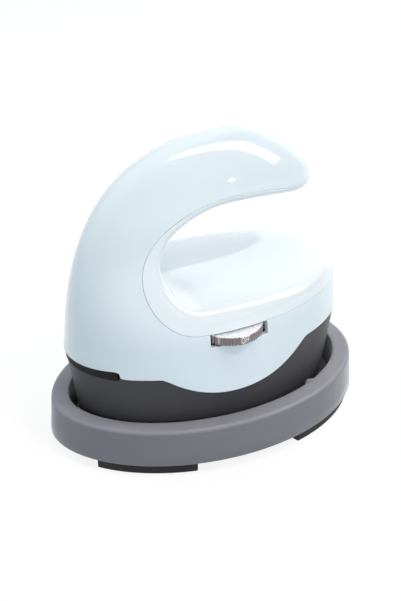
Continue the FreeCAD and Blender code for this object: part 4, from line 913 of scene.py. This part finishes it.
class HEATPRESS_OT_inner_parts(Operator):
    """Give the plate, the frame and everything inside their finishes"""
    bl_idname = "heatpress.inner_parts"
    bl_label = "Inner parts"

    def execute(self, context):
        for name, look in NODE_FINISH.items():
            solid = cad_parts[name]
            solid.data.materials.clear()
            solid.data.materials.append(finish(look))
        return {"FINISHED"}


# -------------------- stage

# Camera: degrees round from the side that shows, degrees up, mm to its target.
CAMERA_TURN, CAMERA_RISE, CAMERA_DISTANCE = -26.631, 31.198, 441.1
CAMERA_TARGET = (-1.235, 0, 50.319)
FILM_HEIGHT, FOCAL_SHARE = 36, 1107.55 / 601  # focal length as a share of the film's height
ROOM_COLOUR, ROOM_STRENGTH = (0.85, 0.93, 1, 1), 0.1
# Floor: half side, height, colour of the light it throws back, colour seen, share of white.
FLOOR_HALF, FLOOR_Z = 3, -2e-5
FLOOR_BOUNCE, FLOOR_SEEN, FLOOR_WHITE = (0.38, 0.45, 0.5, 1), (0.9, 0.9, 0.9, 1), 0.85
COOL, MILD, WARM = (0.92, 0.98, 1.0), (1.0, 0.955, 0.95), (1, 0.92, 0.88)
LAMP_FAR, LAMP_SIZE = 1.2, 0.5
# Soft lamps: name, degrees round from the side that shows, degrees up, watts, colour.
SOFT_LAMPS = (("left", -30, 20, 4.9, COOL), ("front", 10, 35, 2.7, MILD),
              ("right", 115, 20, 7.2, COOL), ("back", -140, 35, 6.4, COOL),
              ("over", 0, 88, 3.35, MILD))
# Lamps that draw a shadow and a glint: name, way to it, size, watts, colour.
SMALL_LAMPS = (("key", (0.28, -0.48, 0.83), 0.03, 3.9, WARM),
               ("spark", (0.459, -0.825, 0.329), 0.08, 0.12, (1, 1, 1)))
# Ends of the long strip, from a point in the handle, and its two lamps: name, width, watts.
STRIP_ENDS = ((-0.05, -0.05, 0.75), (0.62, -0.27, 0.22))
STRIP_LAMPS = (("strip", 0.14, 2.2), ("strip_fill", 0.09, 2.0))


def way_to(azimuth, elevation):
    """Direction at degrees round from the side that shows and degrees up."""
    turn, rise = math.radians(azimuth), math.radians(elevation)
    return Vector((math.sin(turn) * math.cos(rise), -math.cos(turn) * math.cos(rise),
                   math.sin(rise)))


def lamp(name, place, target, size, power, colour=(1, 1, 1), along=None):
    """Area lamp at place, facing target; a disk, or a strip with its long side along."""
    light = bpy.data.lights.new(name, "AREA")
    light.shape = "RECTANGLE" if along else "DISK"
    light.size = size
    light.energy = power
    light.color = colour
    thing = in_scene(name, light)
    thing.location = place
    back = place - target
    if along:
        light.size_y = along.length
        back = back.normalized()
        up = (along - along.dot(back) * back).normalized()
        thing.rotation_euler = Matrix((up.cross(back), up, back)).transposed().to_euler()
    else:
        thing.rotation_euler = (-back).to_track_quat("-Z", "Y").to_euler()
    return thing


def seen_directly(nodes, links, share):
    """Socket: share for what the camera sees, also in gloss or through glass, else 0."""
    path = nodes.new("ShaderNodeLightPath")
    total = path.outputs["Is Camera Ray"]
    for ray in ("Is Glossy Ray", "Is Transmission Ray"):
        add = nodes.new("ShaderNodeMath")
        add.use_clamp = True
        links.new(total, add.inputs[0])
        links.new(path.outputs[ray], add.inputs[1])
        total = add.outputs[0]
    part = nodes.new("ShaderNodeMath")
    part.operation = "MULTIPLY"
    part.inputs[1].default_value = share
    links.new(total, part.inputs[0])
    return part.outputs[0]


def show_white(nodes, links, share, plain, white, end):
    """Puts share of white over plain for what is seen directly, and leads it to the end."""
    mix = nodes.new("ShaderNodeMixShader")
    links.new(seen_directly(nodes, links, share), mix.inputs["Fac"])
    links.new(plain.outputs[0], mix.inputs[1])
    links.new(white.outputs[0], mix.inputs[2])
    links.new(mix.outputs[0], nodes[end].inputs["Surface"])


class HEATPRESS_OT_stage(Operator):
    """Set out the floor, the lamps and the camera"""
    bl_idname = "heatpress.stage"
    bl_label = "Stage"

    def execute(self, context):
        scene = context.scene
        scene.view_settings.view_transform = "Standard"
        self.camera(scene)
        self.surroundings(scene)
        self.floor()
        self.lamps()
        return {"FINISHED"}

    def camera(self, scene):
        """Camera that looks down on the side with the dial, from the tip's end."""
        target = Vector(CAMERA_TARGET) * MM
        back = way_to(CAMERA_TURN, CAMERA_RISE)
        data = bpy.data.cameras.new("camera")
        data.sensor_fit = "VERTICAL"
        data.sensor_height = FILM_HEIGHT
        data.lens = FILM_HEIGHT * FOCAL_SHARE
        data.clip_start, data.clip_end = 0.01, 20
        thing = in_scene("camera", data)
        thing.location = target + back * CAMERA_DISTANCE * MM
        thing.rotation_euler = (-back).to_track_quat("-Z", "Y").to_euler()
        scene.camera = thing

    def surroundings(self, scene):
        """Soft white room; the camera, gloss and glass see plain white."""
        world = bpy.data.worlds.new("room")
        scene.world = world
        world.use_nodes = True
        nodes, links = world.node_tree.nodes, world.node_tree.links
        plain = nodes["Background"]
        plain.inputs["Color"].default_value = ROOM_COLOUR
        plain.inputs["Strength"].default_value = ROOM_STRENGTH
        white = nodes.new("ShaderNodeBackground")
        white.inputs["Color"].default_value = (1, 1, 1, 1)
        show_white(nodes, links, 1, plain, white, "World Output")

    def floor(self):
        """Plain pale floor that shows nearly white and keeps the shadows."""
        mesh = bpy.data.meshes.new("floor")
        ends = ((-1, -1), (1, -1), (1, 1), (-1, 1))
        corners = [(FLOOR_HALF * x, FLOOR_HALF * y, FLOOR_Z) for x, y in ends]
        mesh.from_pydata(corners, [], [(0, 1, 2, 3)])
        thing = in_scene("floor", mesh)
        material = bpy.data.materials.new("floor")
        material.use_nodes = True
        nodes, links = material.node_tree.nodes, material.node_tree.links
        shader = nodes["Principled BSDF"]
        pale = nodes.new("ShaderNodeMix")
        pale.data_type = "RGBA"
        pale.inputs["A"].default_value = FLOOR_BOUNCE
        pale.inputs["B"].default_value = FLOOR_SEEN
        links.new(seen_directly(nodes, links, 1), pale.inputs["Factor"])
        links.new(pale.outputs["Result"], shader.inputs["Base Color"])
        shader.inputs["Roughness"].default_value = 1
        shader.inputs["Specular IOR Level"].default_value = 0
        white = nodes.new("ShaderNodeEmission")
        show_white(nodes, links, FLOOR_WHITE, shader, white, "Material Output")
        mesh.materials.append(material)

    def lamps(self):
        """Soft lamps round the press, two small ones and a long strip over the handle."""
        centre = Vector((0, 0, 0.06))
        for name, azimuth, elevation, power, colour in SOFT_LAMPS:
            place = centre + way_to(azimuth, elevation) * LAMP_FAR
            lamp(name, place, centre, LAMP_SIZE, power, colour).visible_glossy = False
        for name, way, size, power, colour in SMALL_LAMPS:
            place = centre + Vector(way) * LAMP_FAR
            thing = lamp(name, place, centre, size, power, colour)
            thing.visible_glossy = name == "spark"
        centre = Vector((0, 0, 0.08))
        one, two = (centre + Vector(end) for end in STRIP_ENDS)
        for name, width, power in STRIP_LAMPS:
            thing = lamp(name, (one + two) / 2, centre, width, power, along=two - one)
            thing.visible_diffuse = name != "strip"
            thing.visible_glossy = name == "strip"


# -------------------- panel and running order

STEPS = ("shell", "cover", "skirt", "tray", "feet", "dial", "inner_parts", "stage")


class HEATPRESS_PT_panel(Panel):
    """Sizes, colours and the steps in their order"""
    bl_idname = "HEATPRESS_PT_panel"
    bl_label = "Heat press"
    bl_space_type = "VIEW_3D"
    bl_region_type = "UI"
    bl_category = "Heat press"

    def draw(self, context):
        for group in (context.scene.press_sizes, context.scene.press_colours):
            for name in group.__annotations__:
                self.layout.prop(group, name)
        for step in STEPS:
            self.layout.operator("heatpress." + step)


CLASSES = (
    PressColours, PressSizes, HEATPRESS_OT_shell, HEATPRESS_OT_cover, HEATPRESS_OT_skirt,
    HEATPRESS_OT_tray, HEATPRESS_OT_feet, HEATPRESS_OT_dial, HEATPRESS_OT_inner_parts,
    HEATPRESS_OT_stage, HEATPRESS_PT_panel,
)


def register():
    for cls in CLASSES:
        bpy.utils.register_class(cls)
    bpy.types.Scene.press_sizes = PointerProperty(type=PressSizes)
    bpy.types.Scene.press_colours = PointerProperty(type=PressColours)


def unregister():
    del bpy.types.Scene.press_colours
    del bpy.types.Scene.press_sizes
    for cls in reversed(CLASSES):
        bpy.utils.unregister_class(cls)


def main():
    register()
    for step in STEPS:
        getattr(bpy.ops.heatpress, step)()


if __name__ == "__main__":
    main()
